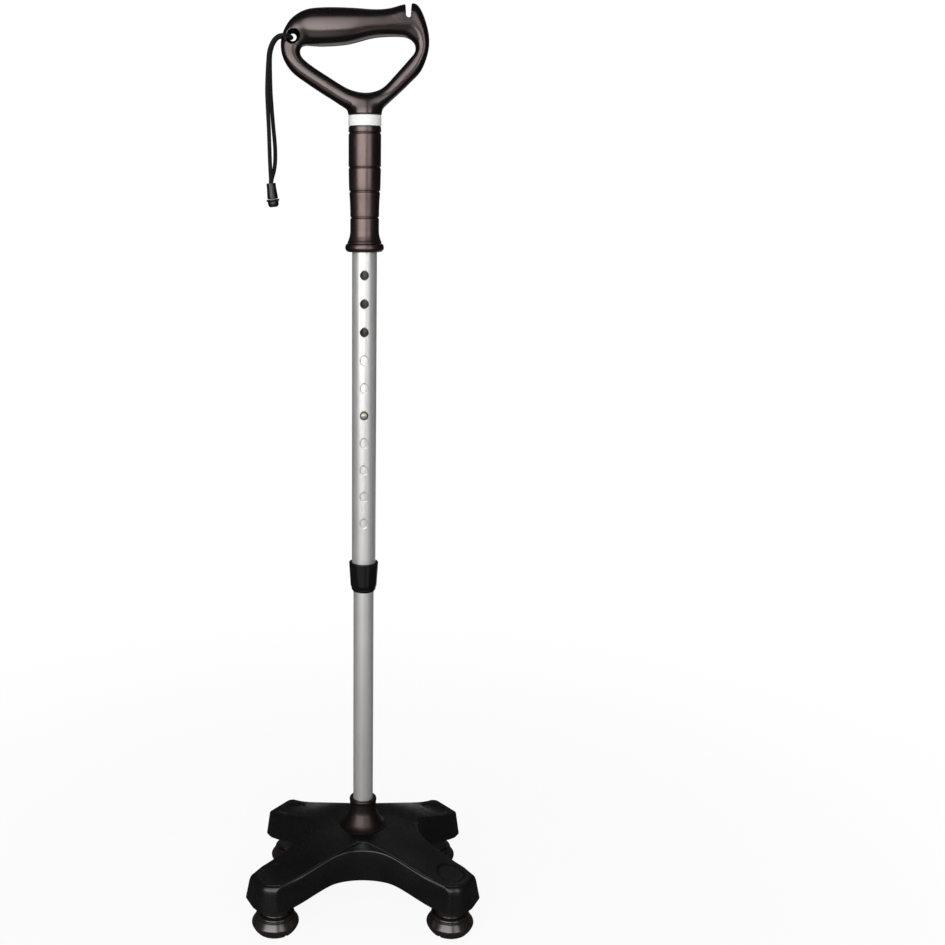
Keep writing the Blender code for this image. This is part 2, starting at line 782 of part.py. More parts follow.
def base_skin():
    """The base's hollow moulding, open below. Its ceiling and top are flat until they are cut into cells."""
    ceiling, top = 1.0, 2.0

    def build(work):
        rows = [[work.verts.new(point) for point in row] for row in skin_rows()]
        for row, after in zip(rows, rows[1:]):
            for k in range(len(row)):
                m = (k + 1) % len(row)
                work.faces.new((row[k], row[m], after[m], after[k]))
        for row, level in ((rows[0], ceiling), (rows[-1], top)):
            for vertex in row:
                vertex.co.z = level
            work.faces.new(row)
            cut_into_cells(work, level)
        for vertex in work.verts:
            x, y, z = vertex.co
            if abs(z - top) < MERGE:
                vertex.co.z = base_height(x, y, 1.0)
            elif abs(z - ceiling) < MERGE:
                vertex.co.z = base_height(x, y, CEILING_SHARE)
    return mesh_from("base_shell", build)


def cut_into_cells(work, level):
    """Splits what is level at this height along a square grid, so that it can bend."""
    lines = math.ceil((FRONT_FOOT_X + 0.03) / GRID_PITCH)
    for axis in (Vector((1, 0, 0)), Vector((0, 1, 0))):
        for k in range(-lines, lines + 1):
            faces = [f for f in work.faces if all(abs(v.co.z - level) < MERGE for v in f.verts)]
            around = {e for f in faces for e in f.edges} | {v for f in faces for v in f.verts}
            bmesh.ops.bisect_plane(
                work, geom=faces + list(around), dist=MERGE,
                plane_co=axis * (k + 0.5) * GRID_PITCH, plane_no=axis,
            )


def rib_mesh(name, end_x, end_y):
    """A rib under the skin, from the hub's boss to a tip's, which sinks as the skin does."""
    length = math.hypot(end_x, end_y)
    steps = 8

    def build(work):
        direction = Vector((end_x, end_y, 0.0)) / length
        side = Vector((-direction.y, direction.x, 0.0)) * RIB_THICKNESS / 2
        low_share, high_share = RIB_SHARES
        rows = []
        for k in range(steps + 1):
            at = direction * (RIB_START + (length - RIB_START - RIB_END) * k / steps)
            rows.append([
                work.verts.new((*(at + side * s).xy, base_height(at.x, at.y, share)))
                for s, share in ((-1, low_share), (1, low_share), (1, high_share), (-1, high_share))
            ])
        for low, high in zip(rows, rows[1:]):
            for k in range(4):
                m = (k + 1) % 4
                work.faces.new((low[k], low[m], high[m], high[k]))
        work.faces.new(rows[0])
        work.faces.new(rows[-1][::-1])
    return mesh_from(name, build)


def make_base_shell(parts, cutters, material):
    base = place("base_shell", base_skin(), parts, material)
    hub = rod_mesh(
        "add_hub_boss", HUB_BOSS_RADIUS, HUB_BOSS_HIGH - HUB_BOSS_LOW, TUBE_STEPS,
        Matrix.Translation((0.0, 0.0, (HUB_BOSS_HIGH + HUB_BOSS_LOW) / 2)),
    )
    combine(base, hidden(place("add_hub_boss", hub, cutters)), "UNION")
    for leg, (side_x, side_y) in LEGS.items():
        x, y = side_x * foot_x(side_y), side_y * FOOT_Y
        rib = rib_mesh("add_rib_" + leg, x, y)
        combine(base, hidden(place("add_rib_" + leg, rib, cutters)), "UNION")
        boss = rod_mesh(
            "add_boss_" + leg, TIP_BOSS_RADIUS, TIP_BOSS_HIGH - TIP_BOSS_LOW, 24,
            Matrix.Translation((x, y, (TIP_BOSS_HIGH + TIP_BOSS_LOW) / 2)),
        )
        combine(base, hidden(place("add_boss_" + leg, boss, cutters)), "UNION")
        hole = rod_mesh(
            "cut_stud_" + leg, STUD_HOLE, 2 * (STUD_HIGH + GAP - TIP_BOSS_LOW), 16,
            Matrix.Translation((x, y, TIP_BOSS_LOW)),
        )
        combine(base, hidden(place("cut_stud_" + leg, hole, cutters)), "DIFFERENCE")
    socket = rod_mesh(
        "cut_hub_socket", INNER_RADIUS + GAP, 2 * (0.09 - HUB_FLOOR), TUBE_STEPS,
        Matrix.Translation((0.0, 0.0, 0.09)),
    )
    combine(base, hidden(place("cut_hub_socket", socket, cutters)), "DIFFERENCE")
    bolt_hole = rod_mesh("cut_hub_bolt", BOLT_HOLE, 0.02, 16, Matrix.Translation((0.0, 0.0, HUB_FLOOR)))
    combine(base, hidden(place("cut_hub_bolt", bolt_hole, cutters)), "DIFFERENCE")


def make_hub_socket(parts, material):
    """The neck that the lower tube stands in, which flares out to the base like a bell."""
    bore = INNER_RADIUS + GAP
    foot = TOP_HEIGHT + GAP
    profile = [
        (bore, HUB_TOP),
        (0.0122, HUB_TOP),
        (0.0131, 0.1030),
        (0.0131, 0.1012),
        (0.0127, 0.1004),
        (0.0127, 0.0920),
        (0.0132, 0.0901),
        (0.0146, 0.0872),
        (0.0178, 0.0808),
        (0.0208, 0.0778),
        (0.0228, foot + 0.0004),
        (0.0228, foot),
        (bore, foot),
    ]
    applied(turned("hub_socket", profile, parts, material))


def make_tube_end_nut(parts, material):
    """A threaded plug in the lower tube's foot."""
    low = INNER_LOW
    profile = tube_profile(INNER_BORE - GAP, BOLT_HOLE, low, low + 0.020)
    applied(turned("tube_end_nut", profile, parts, material, steps=24))


def make_hub_bolt(parts, material):
    """The bolt from below, with its washer under the hub's boss."""
    washer_high = HUB_BOSS_LOW - GAP
    washer_low = washer_high - 0.0014
    head_high = washer_low - GAP
    head_low = head_high - 0.0036
    washer = tube_profile(0.0085, BOLT_HOLE, washer_low, washer_high)
    applied(turned("hub_washer", washer, parts, material, steps=24))

    def build(work):
        bmesh.ops.create_cone(
            work, cap_ends=True, segments=6, radius1=0.0072, radius2=0.0072,
            depth=head_high - head_low, matrix=Matrix.Translation((0.0, 0.0, (head_high + head_low) / 2)),
        )
    bolt = place("hub_bolt", mesh_from("hub_bolt", build), parts, material)
    shank_high = INNER_LOW + 0.016
    shank = rod_mesh(
        "add_bolt_shank", BOLT_RADIUS, shank_high - head_low - 0.001, 16,
        Matrix.Translation((0.0, 0.0, (shank_high + head_low + 0.001) / 2)),
    )
    combine(bolt, hidden(place("add_bolt_shank", shank, bpy.data.collections["cutters"])), "UNION")


def foot_profile():
    """A rubber foot's half section: its stud's bore, then its side from the neck down to the floor."""
    return [
        (0.0, STUD_LOW - GAP),
        (STUD_HOLE, STUD_LOW - GAP),
        (STUD_HOLE, FOOT_TOP),
        (FOOT_NECK_RADIUS, FOOT_TOP),
        (FOOT_NECK_RADIUS, 0.0192),
        (0.0165, 0.0187),
        (0.0181, 0.0176),
        (0.0179, 0.0160),
        (0.0173, 0.0155),
        (0.0184, 0.0149),
        (FOOT_RADIUS, 0.0092),
        (FOOT_RADIUS, 0.0070),
        (0.0200, 0.0030),
        (FOOT_BOTTOM_RADIUS, 0.0),
        (0.0, 0.0),
    ]


def make_feet(parts, cutters, rubber, steel):
    for leg, (side_x, side_y) in LEGS.items():
        x, y = side_x * foot_x(side_y), side_y * FOOT_Y
        foot = applied(turned("foot_" + leg, foot_profile(), parts, rubber, steps=24, ring=False))
        for name, turn in (("along", 0.0), ("across", math.radians(90))):
            groove = box_mesh(
                f"cut_tread_{name}_{leg}", (3 * FOOT_RADIUS, TREAD_WIDTH, 2 * TREAD_DEPTH),
                Matrix.Rotation(math.atan2(y, x) + turn, 4, "Z"),
            )
            combine(foot, hidden(place(groove.name, groove, cutters)), "DIFFERENCE")
        foot.location = (x, y, 0.0)

        stud = rod_mesh(
            "foot_stud_" + leg, STUD_RADIUS, STUD_HIGH - STUD_LOW, 16,
            Matrix.Translation((0.0, 0.0, (STUD_HIGH + STUD_LOW) / 2)),
        )
        place(stud.name, stud, parts, steel).location = (x, y, 0.0)
        washer = tube_profile(0.0105, STUD_HOLE, FOOT_TOP + GAP, TIP_BOSS_LOW - GAP)
        ring = applied(turned("foot_washer_" + leg, washer, parts, steel, steps=24))
        ring.location = (x, y, 0.0)


def make_strap(parts, cord_material, plug_material):
    line = evenly_along(smooth_through(CORD_ROUTE, 5, closed=False), CORD_STEPS)
    curve = bpy.data.curves.new("strap_cord", "CURVE")
    curve.dimensions = "3D"
    curve.bevel_depth = CORD_DIAMETER / 2
    curve.bevel_resolution = 2
    curve.use_fill_caps = True
    spline = curve.splines.new("POLY")
    spline.points.add(len(line) - 1)
    for point, at in zip(spline.points, line):
        point.co = (*at, 1.0)
    place("strap_cord", curve, parts, cord_material)

    bell_profile = [
        (0.0, -GAP),
        (0.0038, -GAP),
        (0.0040, -0.0006),
        (0.0041, -0.0040),
        (0.0046, -0.0100),
        (0.0046, -BELL_LENGTH),
        (0.0, -BELL_LENGTH),
    ]
    plug_top = -BELL_LENGTH - GAP
    plug_profile = [
        (0.0, plug_top),
        (0.0054, plug_top),
        (0.0057, plug_top - 0.0004),
        (0.0057, plug_top - 0.0011),
        (0.0047, plug_top - 0.0018),
        (0.0047, plug_top - 0.0040),
        (0.0040, plug_top - 0.0058),
        (0.0026, plug_top - PLUG_LENGTH),
        (0.0, plug_top - PLUG_LENGTH),
    ]
    for name, profile in (("strap_bell", bell_profile), ("strap_plug", plug_profile)):
        made = applied(turned(name, profile, parts, plug_material, steps=20, ring=False))
        made.location = BELL_TOP
        made.rotation_euler = (0.0, -BELL_LEAN, 0.0)


def main():
    clear_scene()
    parts = collection("quad_cane")
    cutters = collection("cutters")

    bronze = finish("bronze_brown_moulding", (0.035, 0.022, 0.018), 0.25, 0.35)
    white = finish("white_plastic", (0.80, 0.80, 0.78), 0.40)
    silver = finish("satin_aluminium", (0.62, 0.63, 0.64), 0.32, 0.9)
    black = finish("gloss_black_plastic", (0.012, 0.012, 0.013), 0.15)
    nylon = finish("grey_nylon", (0.20, 0.20, 0.20), 0.50)
    rubber = finish("black_rubber", (0.020, 0.017, 0.016), 0.35)
    steel = finish("zinc_steel", (0.55, 0.55, 0.53), 0.30, 1.0)
    cord = finish("black_cord", (0.015, 0.015, 0.015), 0.70)

    make_outer_tube(parts, cutters, silver)
    make_inner_tube(parts, cutters, silver)
    make_inner_tube_guide(parts, nylon)
    make_snap_button(parts, steel)
    make_button_spring(parts, steel)
    make_lock_collar(parts, cutters, black)
    make_collar_bush(parts, cutters, nylon)

    make_handle(parts, cutters, bronze)
    make_handle_pin(parts, steel)
    make_white_band(parts, white)
    make_sleeve_grip(parts, bronze)

    make_base_shell(parts, cutters, black)
    make_hub_socket(parts, black)
    make_tube_end_nut(parts, steel)
    make_hub_bolt(parts, steel)
    make_feet(parts, cutters, rubber, steel)
    make_strap(parts, cord, black)


main()
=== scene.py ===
"""A telescopic cane with a wrist strap on a four-legged base: its looks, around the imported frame.

Each piece lies where its CAD node is and rides on that node's body. Metres, +Z up. The handle lies
along X, and the wider pair of legs points to -Y. A plan radius is a distance from the tubes' axis.
"""

import json
import math

import bmesh
import bpy
from bpy.props import FloatProperty, FloatVectorProperty, IntProperty, PointerProperty
from mathutils import Matrix, Vector


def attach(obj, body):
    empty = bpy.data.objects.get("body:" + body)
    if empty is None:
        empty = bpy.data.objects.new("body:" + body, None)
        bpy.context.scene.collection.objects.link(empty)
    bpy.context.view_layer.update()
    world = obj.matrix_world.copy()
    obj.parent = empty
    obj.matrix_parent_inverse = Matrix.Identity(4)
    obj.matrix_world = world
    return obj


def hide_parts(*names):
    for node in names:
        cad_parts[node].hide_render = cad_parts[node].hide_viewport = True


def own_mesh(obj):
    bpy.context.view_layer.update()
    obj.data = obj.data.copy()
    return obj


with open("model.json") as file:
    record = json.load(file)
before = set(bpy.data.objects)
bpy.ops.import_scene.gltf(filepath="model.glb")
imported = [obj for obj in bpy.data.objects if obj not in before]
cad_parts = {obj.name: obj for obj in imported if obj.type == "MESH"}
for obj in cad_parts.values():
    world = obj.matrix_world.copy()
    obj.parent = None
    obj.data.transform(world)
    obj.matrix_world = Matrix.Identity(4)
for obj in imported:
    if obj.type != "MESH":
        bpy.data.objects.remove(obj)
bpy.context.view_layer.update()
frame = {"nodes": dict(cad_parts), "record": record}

bl_info = {
    "name": "Quad cane",
    "version": (1, 0, 0),
    "blender": (4, 5, 0),
    "location": "3D View > Sidebar > Quad Cane",
    "description": "Builds the visible pieces of a telescopic cane around its packed frame",
    "category": "Object",
}

# What pieces that touch keep between them, the least distance between two points, and how far a
# cutter reaches on each side of the middle
GAP = 0.0003
MERGE = 0.00001
CUTTER_REACH = 0.0300

# Tubes
OUTER_LOW = 0.3223
OUTER_HIGH = 0.7520
INNER_LOW = 0.0448
INNER_HIGH = 0.5450
TURN_STEPS = 96
HOLE_TOP = 0.6070
HOLE_SIDES = 40
BUTTON_HOLE = 6

# Snap button
BUTTON_TIP_Y = -0.0126
BUTTON_FOOT_Y = -0.0058

# Locking ring
COLLAR_LOW = 0.3145
COLLAR_HIGH = 0.3427
COLLAR_TOP_RADIUS = 0.01365
COLLAR_LOW_RADIUS = 0.01225
FLUTE_SIDES = 24

# Handle neck, the pale band under it, and the grip sleeve
NECK_RADIUS = 0.01445
NECK_LOW = 0.7431
SKIRT_RADIUS = 0.0127
SKIRT_LOW = 0.7343
BAND_RADIUS = 0.0142
PIN_Z = 0.7385
PIN_RADIUS = 0.0016
SLEEVE_LOW = 0.6270
SLEEVE_HIGH = 0.7336
SLEEVE_GROOVES = (0.7283, 0.6994, 0.6790, 0.6568, 0.6348)

# Handle loop. Each station is (outer x, outer z, inner x, inner z, depth along Y), from the loop's
# lowest place over the strap's side to the notched horn.
LOOP_STATIONS = (
    (0.0000, 0.7440, -0.0010, 0.7616, 0.0265),
    (-0.0150, 0.7475, -0.0110, 0.7637, 0.0215),
    (-0.0287, 0.7556, -0.0207, 0.7683, 0.0175),
    (-0.0496, 0.7688, -0.0416, 0.7808, 0.0165),
    (-0.0625, 0.7783, -0.0515, 0.7880, 0.0160),
    (-0.0697, 0.7890, -0.0549, 0.7924, 0.0155),
    (-0.0719, 0.8000, -0.0552, 0.7962, 0.0140),
    (-0.0697, 0.8110, -0.0534, 0.7988, 0.0145),
    (-0.0625, 0.8218, -0.0495, 0.7997, 0.0195),
    (-0.0502, 0.8287, -0.0440, 0.7994, 0.0275),
    (-0.0340, 0.8305, -0.0340, 0.7992, 0.0310),
    (-0.0121, 0.8302, -0.0145, 0.8008, 0.0300),
    (0.0070, 0.8290, 0.0060, 0.8058, 0.0270),
    (0.0200, 0.8298, 0.0200, 0.8071, 0.0245),
    (0.0335, 0.8332, 0.0320, 0.8069, 0.0225),
    (0.0433, 0.8332, 0.0378, 0.8052, 0.0205),
    (0.0497, 0.8238, 0.0415, 0.8020, 0.0185),
    (0.0542, 0.8085, 0.0429, 0.7984, 0.0170),
    (0.0538, 0.7948, 0.0420, 0.7940, 0.0165),
    (0.0480, 0.7797, 0.0365, 0.7876, 0.0165),
    (0.0378, 0.7688, 0.0269, 0.7772, 0.0165),
    (0.0237, 0.7556, 0.0160, 0.7664, 0.0175),
    (0.0130, 0.7470, 0.0075, 0.7625, 0.0220),
)
LOOP_BETWEEN = 9
LOOP_SIDES = 48
LOOP_FULLNESS = 0.88
HANDLE_VOXEL = 0.00060
HANDLE_CALMING = 6
NECK_BLEND = Vector((0.0, 0.0, 0.7570))
NECK_BLEND_REACH = 0.0360
NECK_BLEND_LOW = 0.7440
NECK_BLEND_CALMING = 260
NOTCH_X = 0.0366
NOTCH_HALF = 0.0023
NOTCH_BOTTOM = 0.8214
NOTCH_HEIGHT = 0.0300
NOTCH_WIDENING = 0.4
EYELET = Vector((-0.0615, 0.0, 0.8064))
EYELET_RADIUS = 0.0033
EYELET_RIM = 0.0051

# Base. Its top and its skirt's edge both sink outwards, between two plan radii.
TOP_HEIGHT = 0.0760
TOP_DROP = 0.0195
TOP_SLOPE = (0.0300, 0.1180)
SKIRT_HEIGHT = 0.0420
SKIRT_DROP = 0.0100
SKIRT_SLOPE = (0.0550, 0.1100)
FOOT_Y = 0.0605
FRONT_FOOT_X = 0.0823
REAR_FOOT_X = 0.0727
SHELL_THICKNESS = 0.0032
WALL_LEAN = 0.0032
LEG_EDGE = 0.0011
TIP_EDGE = 0.0040
TIP_FALL = 0.0078
EDGE_BEND = ((0.0, 1.0), (0.04, 0.88), (0.16, 0.62), (0.36, 0.34), (0.62, 0.13), (0.82, 0.04), (1.0, 0.0))
TIP_REACH = (0.0850, 0.1080)
LEDGE = 0.0006
STEP = 0.0005
GRID_PITCH = 0.0050
DISH_PITCH = 0.0010
SIDE_PIECE = 0.0060
ARC_STEP_DEGREES = 5
LEAST_CORNER = 0.0025

# The base outline's corners: (x, y, rounding radius, share of the lean)
FRONT_ARCH_CORNER = (0.0177, 0.0480, 0.0570, 0.0)
REAR_ARCH_CORNER = (0.0177, 0.0480, 0.0570, 1.7)
CREST_CORNER = (0.0012, 0.0382, 0.0030, 0.0)
SIDE_CORNER = (0.0570, 0.0129, 0.0220, 1.0)

# A leg's tip, as corners from its foot's centre: (outwards along X, outwards along Y, rounding radius)
FRONT_TIP = (
    (-0.0043, 0.0282, 0.0080),
    (0.0142, 0.0282, 0.0225),
    (0.0284, -0.0010, 0.0060),
    (0.0220, -0.0110, 0.0120),
)
REAR_TIP = (
    (-0.0017, 0.0280, 0.0060),
    (0.0066, 0.0283, 0.0090),
    (0.0277, -0.0010, 0.0050),
    (0.0220, -0.0110, 0.0120),
)

# Below the base's skin
HUB_BOSS_RADIUS = 0.0150
HUB_BOSS_LOW = 0.0380
HUB_BOSS_HIGH = TOP_HEIGHT - 0.0015
HUB_FLOOR = 0.0445
HUB_TOP = 0.1040
SOCKET_CUT_HIGH = 0.1200
TIP_BOSS_RADIUS = 0.0115
TIP_BOSS_LOW = 0.0315
TIP_BOSS_HIGH = 0.0540
RIB_THICKNESS = 0.0024
BOLT_HOLE = 0.0043
BOLT_CUT_LOW = 0.0300
BOLT_CUT_HIGH = HUB_FLOOR + 0.0100

# Rubber feet
FOOT_TOP = 0.0294
STUD_HOLE = 0.0043
STUD_LOW = 0.0090
STUD_HIGH = 0.0470
STUD_CUT_LOW = 0.0200
TREAD_REACH = 0.0700

# Wrist strap. The route runs from the bell up behind the handle, through the eyelet from the
# back, and down in front of it to the bell again.
STRAP_ROUTE = (
    (-0.0817, 0.0018, 0.6856),
    (-0.0810, 0.0019, 0.6898),
    (-0.0790, 0.0024, 0.6970),
    (-0.0780, 0.0030, 0.7056),
    (-0.0781, 0.0036, 0.7176),
    (-0.0794, 0.0042, 0.7333),
    (-0.0805, 0.0048, 0.7475),
    (-0.0815, 0.0060, 0.7653),
    (-0.0818, 0.0080, 0.7890),
    (-0.0807, 0.0095, 0.7978),
    (-0.0782, 0.0108, 0.8041),
    (-0.0745, 0.0118, 0.8080),
    (-0.0702, 0.0127, 0.8085),
    (-0.0660, 0.0110, 0.8075),
    (-0.0636, 0.0062, 0.8067),
    (-0.0627, 0.0000, 0.8064),
    (-0.0636, -0.0062, 0.8064),
    (-0.0658, -0.0110, 0.8065),
    (-0.0692, -0.0127, 0.8066),
    (-0.0735, -0.0118, 0.8056),
    (-0.0774, -0.0108, 0.8021),
    (-0.0805, -0.0095, 0.7958),
    (-0.0820, -0.0080, 0.7872),
    (-0.0835, -0.0060, 0.7642),
    (-0.0832, -0.0048, 0.7467),
    (-0.0827, -0.0042, 0.7327),
    (-0.0824, -0.0036, 0.7172),
    (-0.0822, -0.0030, 0.7053),
    (-0.0819, -0.0024, 0.6961),
    (-0.0817, -0.0019, 0.6897),
    (-0.0817, -0.0018, 0.6856),
)
STRAP_BETWEEN = 7
STRAP_STEP = 0.0010
STRAP_SIDES = 20
BELL_TOP = Vector((-0.0817, 0.0, 0.6853))
BELL_LEAN = math.radians(6.0)
BELL_LENGTH = 0.0130
PLUG_LENGTH = 0.0066
BELL_SIDES = 64

# Camera
CAMERA_PLACE = (0.0, -1.0726, 0.6630)
CAMERA_DOWN = math.radians(12.37)
CAMERA_ROLL = math.radians(0.16)
CAMERA_LENS = 45.55
CAMERA_SENSOR = 36.0
CAMERA_SHIFT = 0.1149

# Two lamps stand in front of the cane and a third behind it: (from and to what bearing, lowest and
# highest edge, degrees round the cane). A bearing is in degrees from straight ahead, towards +X.
LAMP_DISTANCE = 1.75
LAMPS = {
    "left": (-53, 8, 0.38, 2.40, 0),
    "right": (20, 43, 0.38, 2.40, 0),
    "back": (-40, 12, 1.65, 2.40, 180),
}

# How bright a lamp is at its lower and its upper edge, and where each card on the floor begins
LAMP_FADING = (1.55, 0.45)
CARD_NEAR = 0.50
CARD_HEIGHT = 0.0008

# Floor and studio walls
FLOOR_RADIUS = 6.0
WALLS_SIZE = Vector((4.6, 4.6, 2.9))
WALLS_LOW = 0.0004
WALLS_Y = -0.60
WHITE = (1.0, 1.0, 1.0, 1.0)

LEFT, RIGHT = -1, 1
FRONT, REAR = -1, 1
LEGS = {
    "front_left": (LEFT, FRONT),
    "front_right": (RIGHT, FRONT),
    "rear_left": (LEFT, REAR),
    "rear_right": (RIGHT, REAR),
}


def length(name, description, default):
    return FloatProperty(
        name=name, description=description, default=default, min=0.0, unit="LENGTH", precision=4
    )


def whole_number(name, description, default, least, most):
    return IntProperty(name=name, description=description, default=default, min=least, max=most)


def lamp_power(name, description, default):
    return FloatProperty(name=name, description=description, default=default, min=0.0, unit="POWER")


def amount(name, description, default):
    return FloatProperty(name=name, description=description, default=default, min=0.0)


def colour(name, description, default):
    return FloatVectorProperty(
        name=name, description=description, default=default, min=0.0, max=1.0, size=3, subtype="COLOR"
    )


class CaneSizes(bpy.types.PropertyGroup):
    """The sizes that a maker of this cane would change."""

    outer_radius: length("Upper tube", "Radius of the upper tube", 0.0110)
    outer_bore: length("Upper bore", "Radius of the upper tube's bore", 0.0100)
    inner_radius: length("Lower tube", "Radius of the lower tube", 0.0095)
    inner_bore: length("Lower bore", "Radius of the lower tube's bore", 0.0083)
    hole_radius: length("Hole", "Radius of an adjustment hole", 0.0040)
    hole_bevel: length("Hole bevel", "Depth of the bevel round an adjustment hole", 0.0005)
    hole_pitch: length("Hole pitch", "Distance from hole to hole", 0.0250)
    hole_count: whole_number("Holes", "Number of adjustment holes", 10, 1, 20)
    button_radius: length("Button", "Radius of the snap button", 0.0035)
    groove_depth: length("Grip groove", "Depth of the grip sleeve's grooves", 0.0008)
    flute_count: whole_number("Flutes", "Number of flutes round the locking ring", 12, 3, 40)
    flute_radius: length("Flute", "Radius of a flute on the locking ring", 0.0021)
    cord_diameter: length("Cord", "Diameter of the strap's cord", 0.0035)
    dish_radius: length("Dish", "Radius of the shallow dish on each leg's tip", 0.0125)
    dish_depth: length("Dish depth", "Depth of that dish", 0.0012)
    tread_width: length("Tread", "Width of a groove under a rubber foot", 0.0028)
    tread_depth: length("Tread depth", "Depth of that groove", 0.0028)


class CaneColours(bpy.types.PropertyGroup):
    """The colours of the cane's finishes."""

    bronze: colour("Bronze", "Lacquered handle, grip and hub", (0.185, 0.136, 0.128))
    bronze_deep: colour("Deep bronze", "The same lacquer where it lies thick", (0.118, 0.086, 0.080))
    band: colour("Band", "White band under the handle", (0.86, 0.86, 0.85))
    aluminium: colour("Aluminium", "Anodised tubes", (0.82, 0.81, 0.80))
    black: colour("Black", "Base, locking ring, bell and plug", (0.004, 0.004, 0.004))
    rubber: colour("Rubber", "Feet", (0.010, 0.008, 0.007))
    cord: colour("Cord", "Wrist strap's cord", (0.004, 0.0036, 0.0034))
    nylon: colour("Nylon", "Guide plug and split bush", (0.30, 0.30, 0.29))
    steel: colour("Steel", "Snap button and its spring", (0.46, 0.42, 0.36))
    zinc: colour("Zinc", "Bolt, pin, end plug, studs and washers", (0.58, 0.58, 0.55))


class CaneStage(bpy.types.PropertyGroup):
    """The studio round the cane."""

    floor: colour("Floor", "Floor", (0.90, 0.90, 0.90))
    walls: colour("Walls", "Studio walls that show only in gloss", (0.05, 0.05, 0.05))
    left_power: lamp_power("Left lamp", "Power of the wide lamp in front", 43.0)
    right_power: lamp_power("Right lamp", "Power of the narrow lamp in front", 10.5)
    back_power: lamp_power("Back lamp", "Power of the lamp behind", 6.5)
    # The cards glow with their own light, painted reflections of a lit floor
    cards: amount("Cards", "Brightness of the cards on the floor", 0.6)
    fill: amount("Fill", "Strength of the soft light from all round", 0.24)


class CaneSettings(bpy.types.PropertyGroup):
    """All settings of the cane."""

    sizes: PointerProperty(type=CaneSizes)
    colours: PointerProperty(type=CaneColours)
    stage: PointerProperty(type=CaneStage)


def settings():
    return bpy.context.scene.cane


class Graph:
    """A node tree, and what adds nodes to it."""

    def __init__(self, tree):
        self.tree = tree

    def add(self, kind, inputs=None, **values):
        """A new node. Each of its inputs is a socket to join to or a value to set."""
        node = self.tree.nodes.new(kind)
        for key, value in values.items():
            setattr(node, key, value)
        for key, value in (inputs or {}).items():
            self.feed(node.inputs[key], value)
        return node

    def feed(self, socket, value):
        if isinstance(value, bpy.types.NodeSocket):
            self.tree.links.new(value, socket)
        else:
            socket.default_value = value

    def maths(self, operation, first, second=0.0):
        return self.add("ShaderNodeMath", {0: first, 1: second}, operation=operation).outputs[0]

    def vector(self, **axes):
        """A vector from sockets or values named x, y and z. An axis that isn't named is 0."""
        inputs = {axis.upper(): value for axis, value in axes.items()}
        return self.add("ShaderNodeCombineXYZ", inputs).outputs[0]

    def between(self, share, low, high, start=0.3, end=0.7, **values):
        """A value from low to high as the share goes from start to end."""
        inputs = {"Value": share, "From Min": start, "From Max": end, "To Min": low, "To Max": high}
        return self.add("ShaderNodeMapRange", inputs, **values).outputs["Result"]


class Finish(Graph):
    """A node material. It starts as one Principled shader."""

    def __init__(self, name):
        self.material = bpy.data.materials.new(name)
        self.material.use_nodes = True
        super().__init__(self.material.node_tree)
        self.shader = self.tree.nodes["Principled BSDF"]
        self.place = self.add("ShaderNodeTexCoord").outputs["Object"]

    def shade(self, **inputs):
        """Sets the shader's inputs, named with underscores for spaces."""
        for key, value in inputs.items():
            self.feed(self.shader.inputs[key.replace("_", " ")], value)

    def stretched(self, x, y, z):
        """Object coordinates, scaled along each axis."""
        return self.add("ShaderNodeMapping", {"Vector": self.place, "Scale": (x, y, z)}).outputs[0]

    def noise(self, scale, detail=2.0, vector=None, roughness=0.5):
        inputs = {"Vector": vector or self.place, "Scale": scale, "Detail": detail, "Roughness": roughness}
        return self.add("ShaderNodeTexNoise", inputs).outputs["Fac"]

    def mixed(self, share, first, second):
        """A colour between two others."""
        return self.add("ShaderNodeMix", {0: share, 6: first, 7: second}, data_type="RGBA").outputs[2]

    def bump(self, height, strength, distance):
        inputs = {"Height": height, "Strength": strength, "Distance": distance}
        self.feed(self.shader.inputs["Normal"], self.add("ShaderNodeBump", inputs).outputs["Normal"])

    def glow(self, strength):
        """A white light that is seen as it is."""
        return self.add("ShaderNodeEmission", {"Color": WHITE, "Strength": strength}).outputs[0]

    def surface(self, shader):
        """Puts this shader in the Principled one's place."""
        self.feed(self.tree.nodes["Material Output"].inputs["Surface"], shader)


def rgba(value, brightness=1.0):
    return (*(min(channel * brightness, 1.0) for channel in value), 1.0)


def bronze_lacquer(name, roughness, coat, brightness=1.0):
    """Brown metallic lacquer: fine flakes under a clear coat, a little worn to matt."""
    colours = settings().colours
    finish = Finish(name)
    clouds = finish.noise(60.0, detail=3.0)
    flakes = finish.noise(5200.0, detail=1.0)
    base = finish.mixed(clouds, rgba(colours.bronze_deep, brightness), rgba(colours.bronze, brightness))
    glitter = finish.between(flakes, 0.0, 0.5, 0.50, 0.80)
    finish.shade(
        Base_Color=finish.mixed(glitter, base, rgba(colours.bronze, brightness * 1.8)),
        Metallic=1.0,
        Roughness=finish.between(clouds, roughness - 0.04, roughness + 0.05),
        Coat_Weight=coat,
        Coat_Roughness=0.20,
    )
    finish.bump(finish.noise(700.0), 0.10, 0.0002)
    return finish.material


def white_plastic():
    finish = Finish("white_plastic")
    clouds = finish.noise(90.0)
    base = settings().colours.band
    finish.shade(
        Base_Color=finish.mixed(clouds, rgba(base, 0.96), rgba(base)),
        Roughness=finish.between(clouds, 0.34, 0.44),
    )
    finish.bump(finish.noise(1500.0), 0.08, 0.0001)
    return finish.material


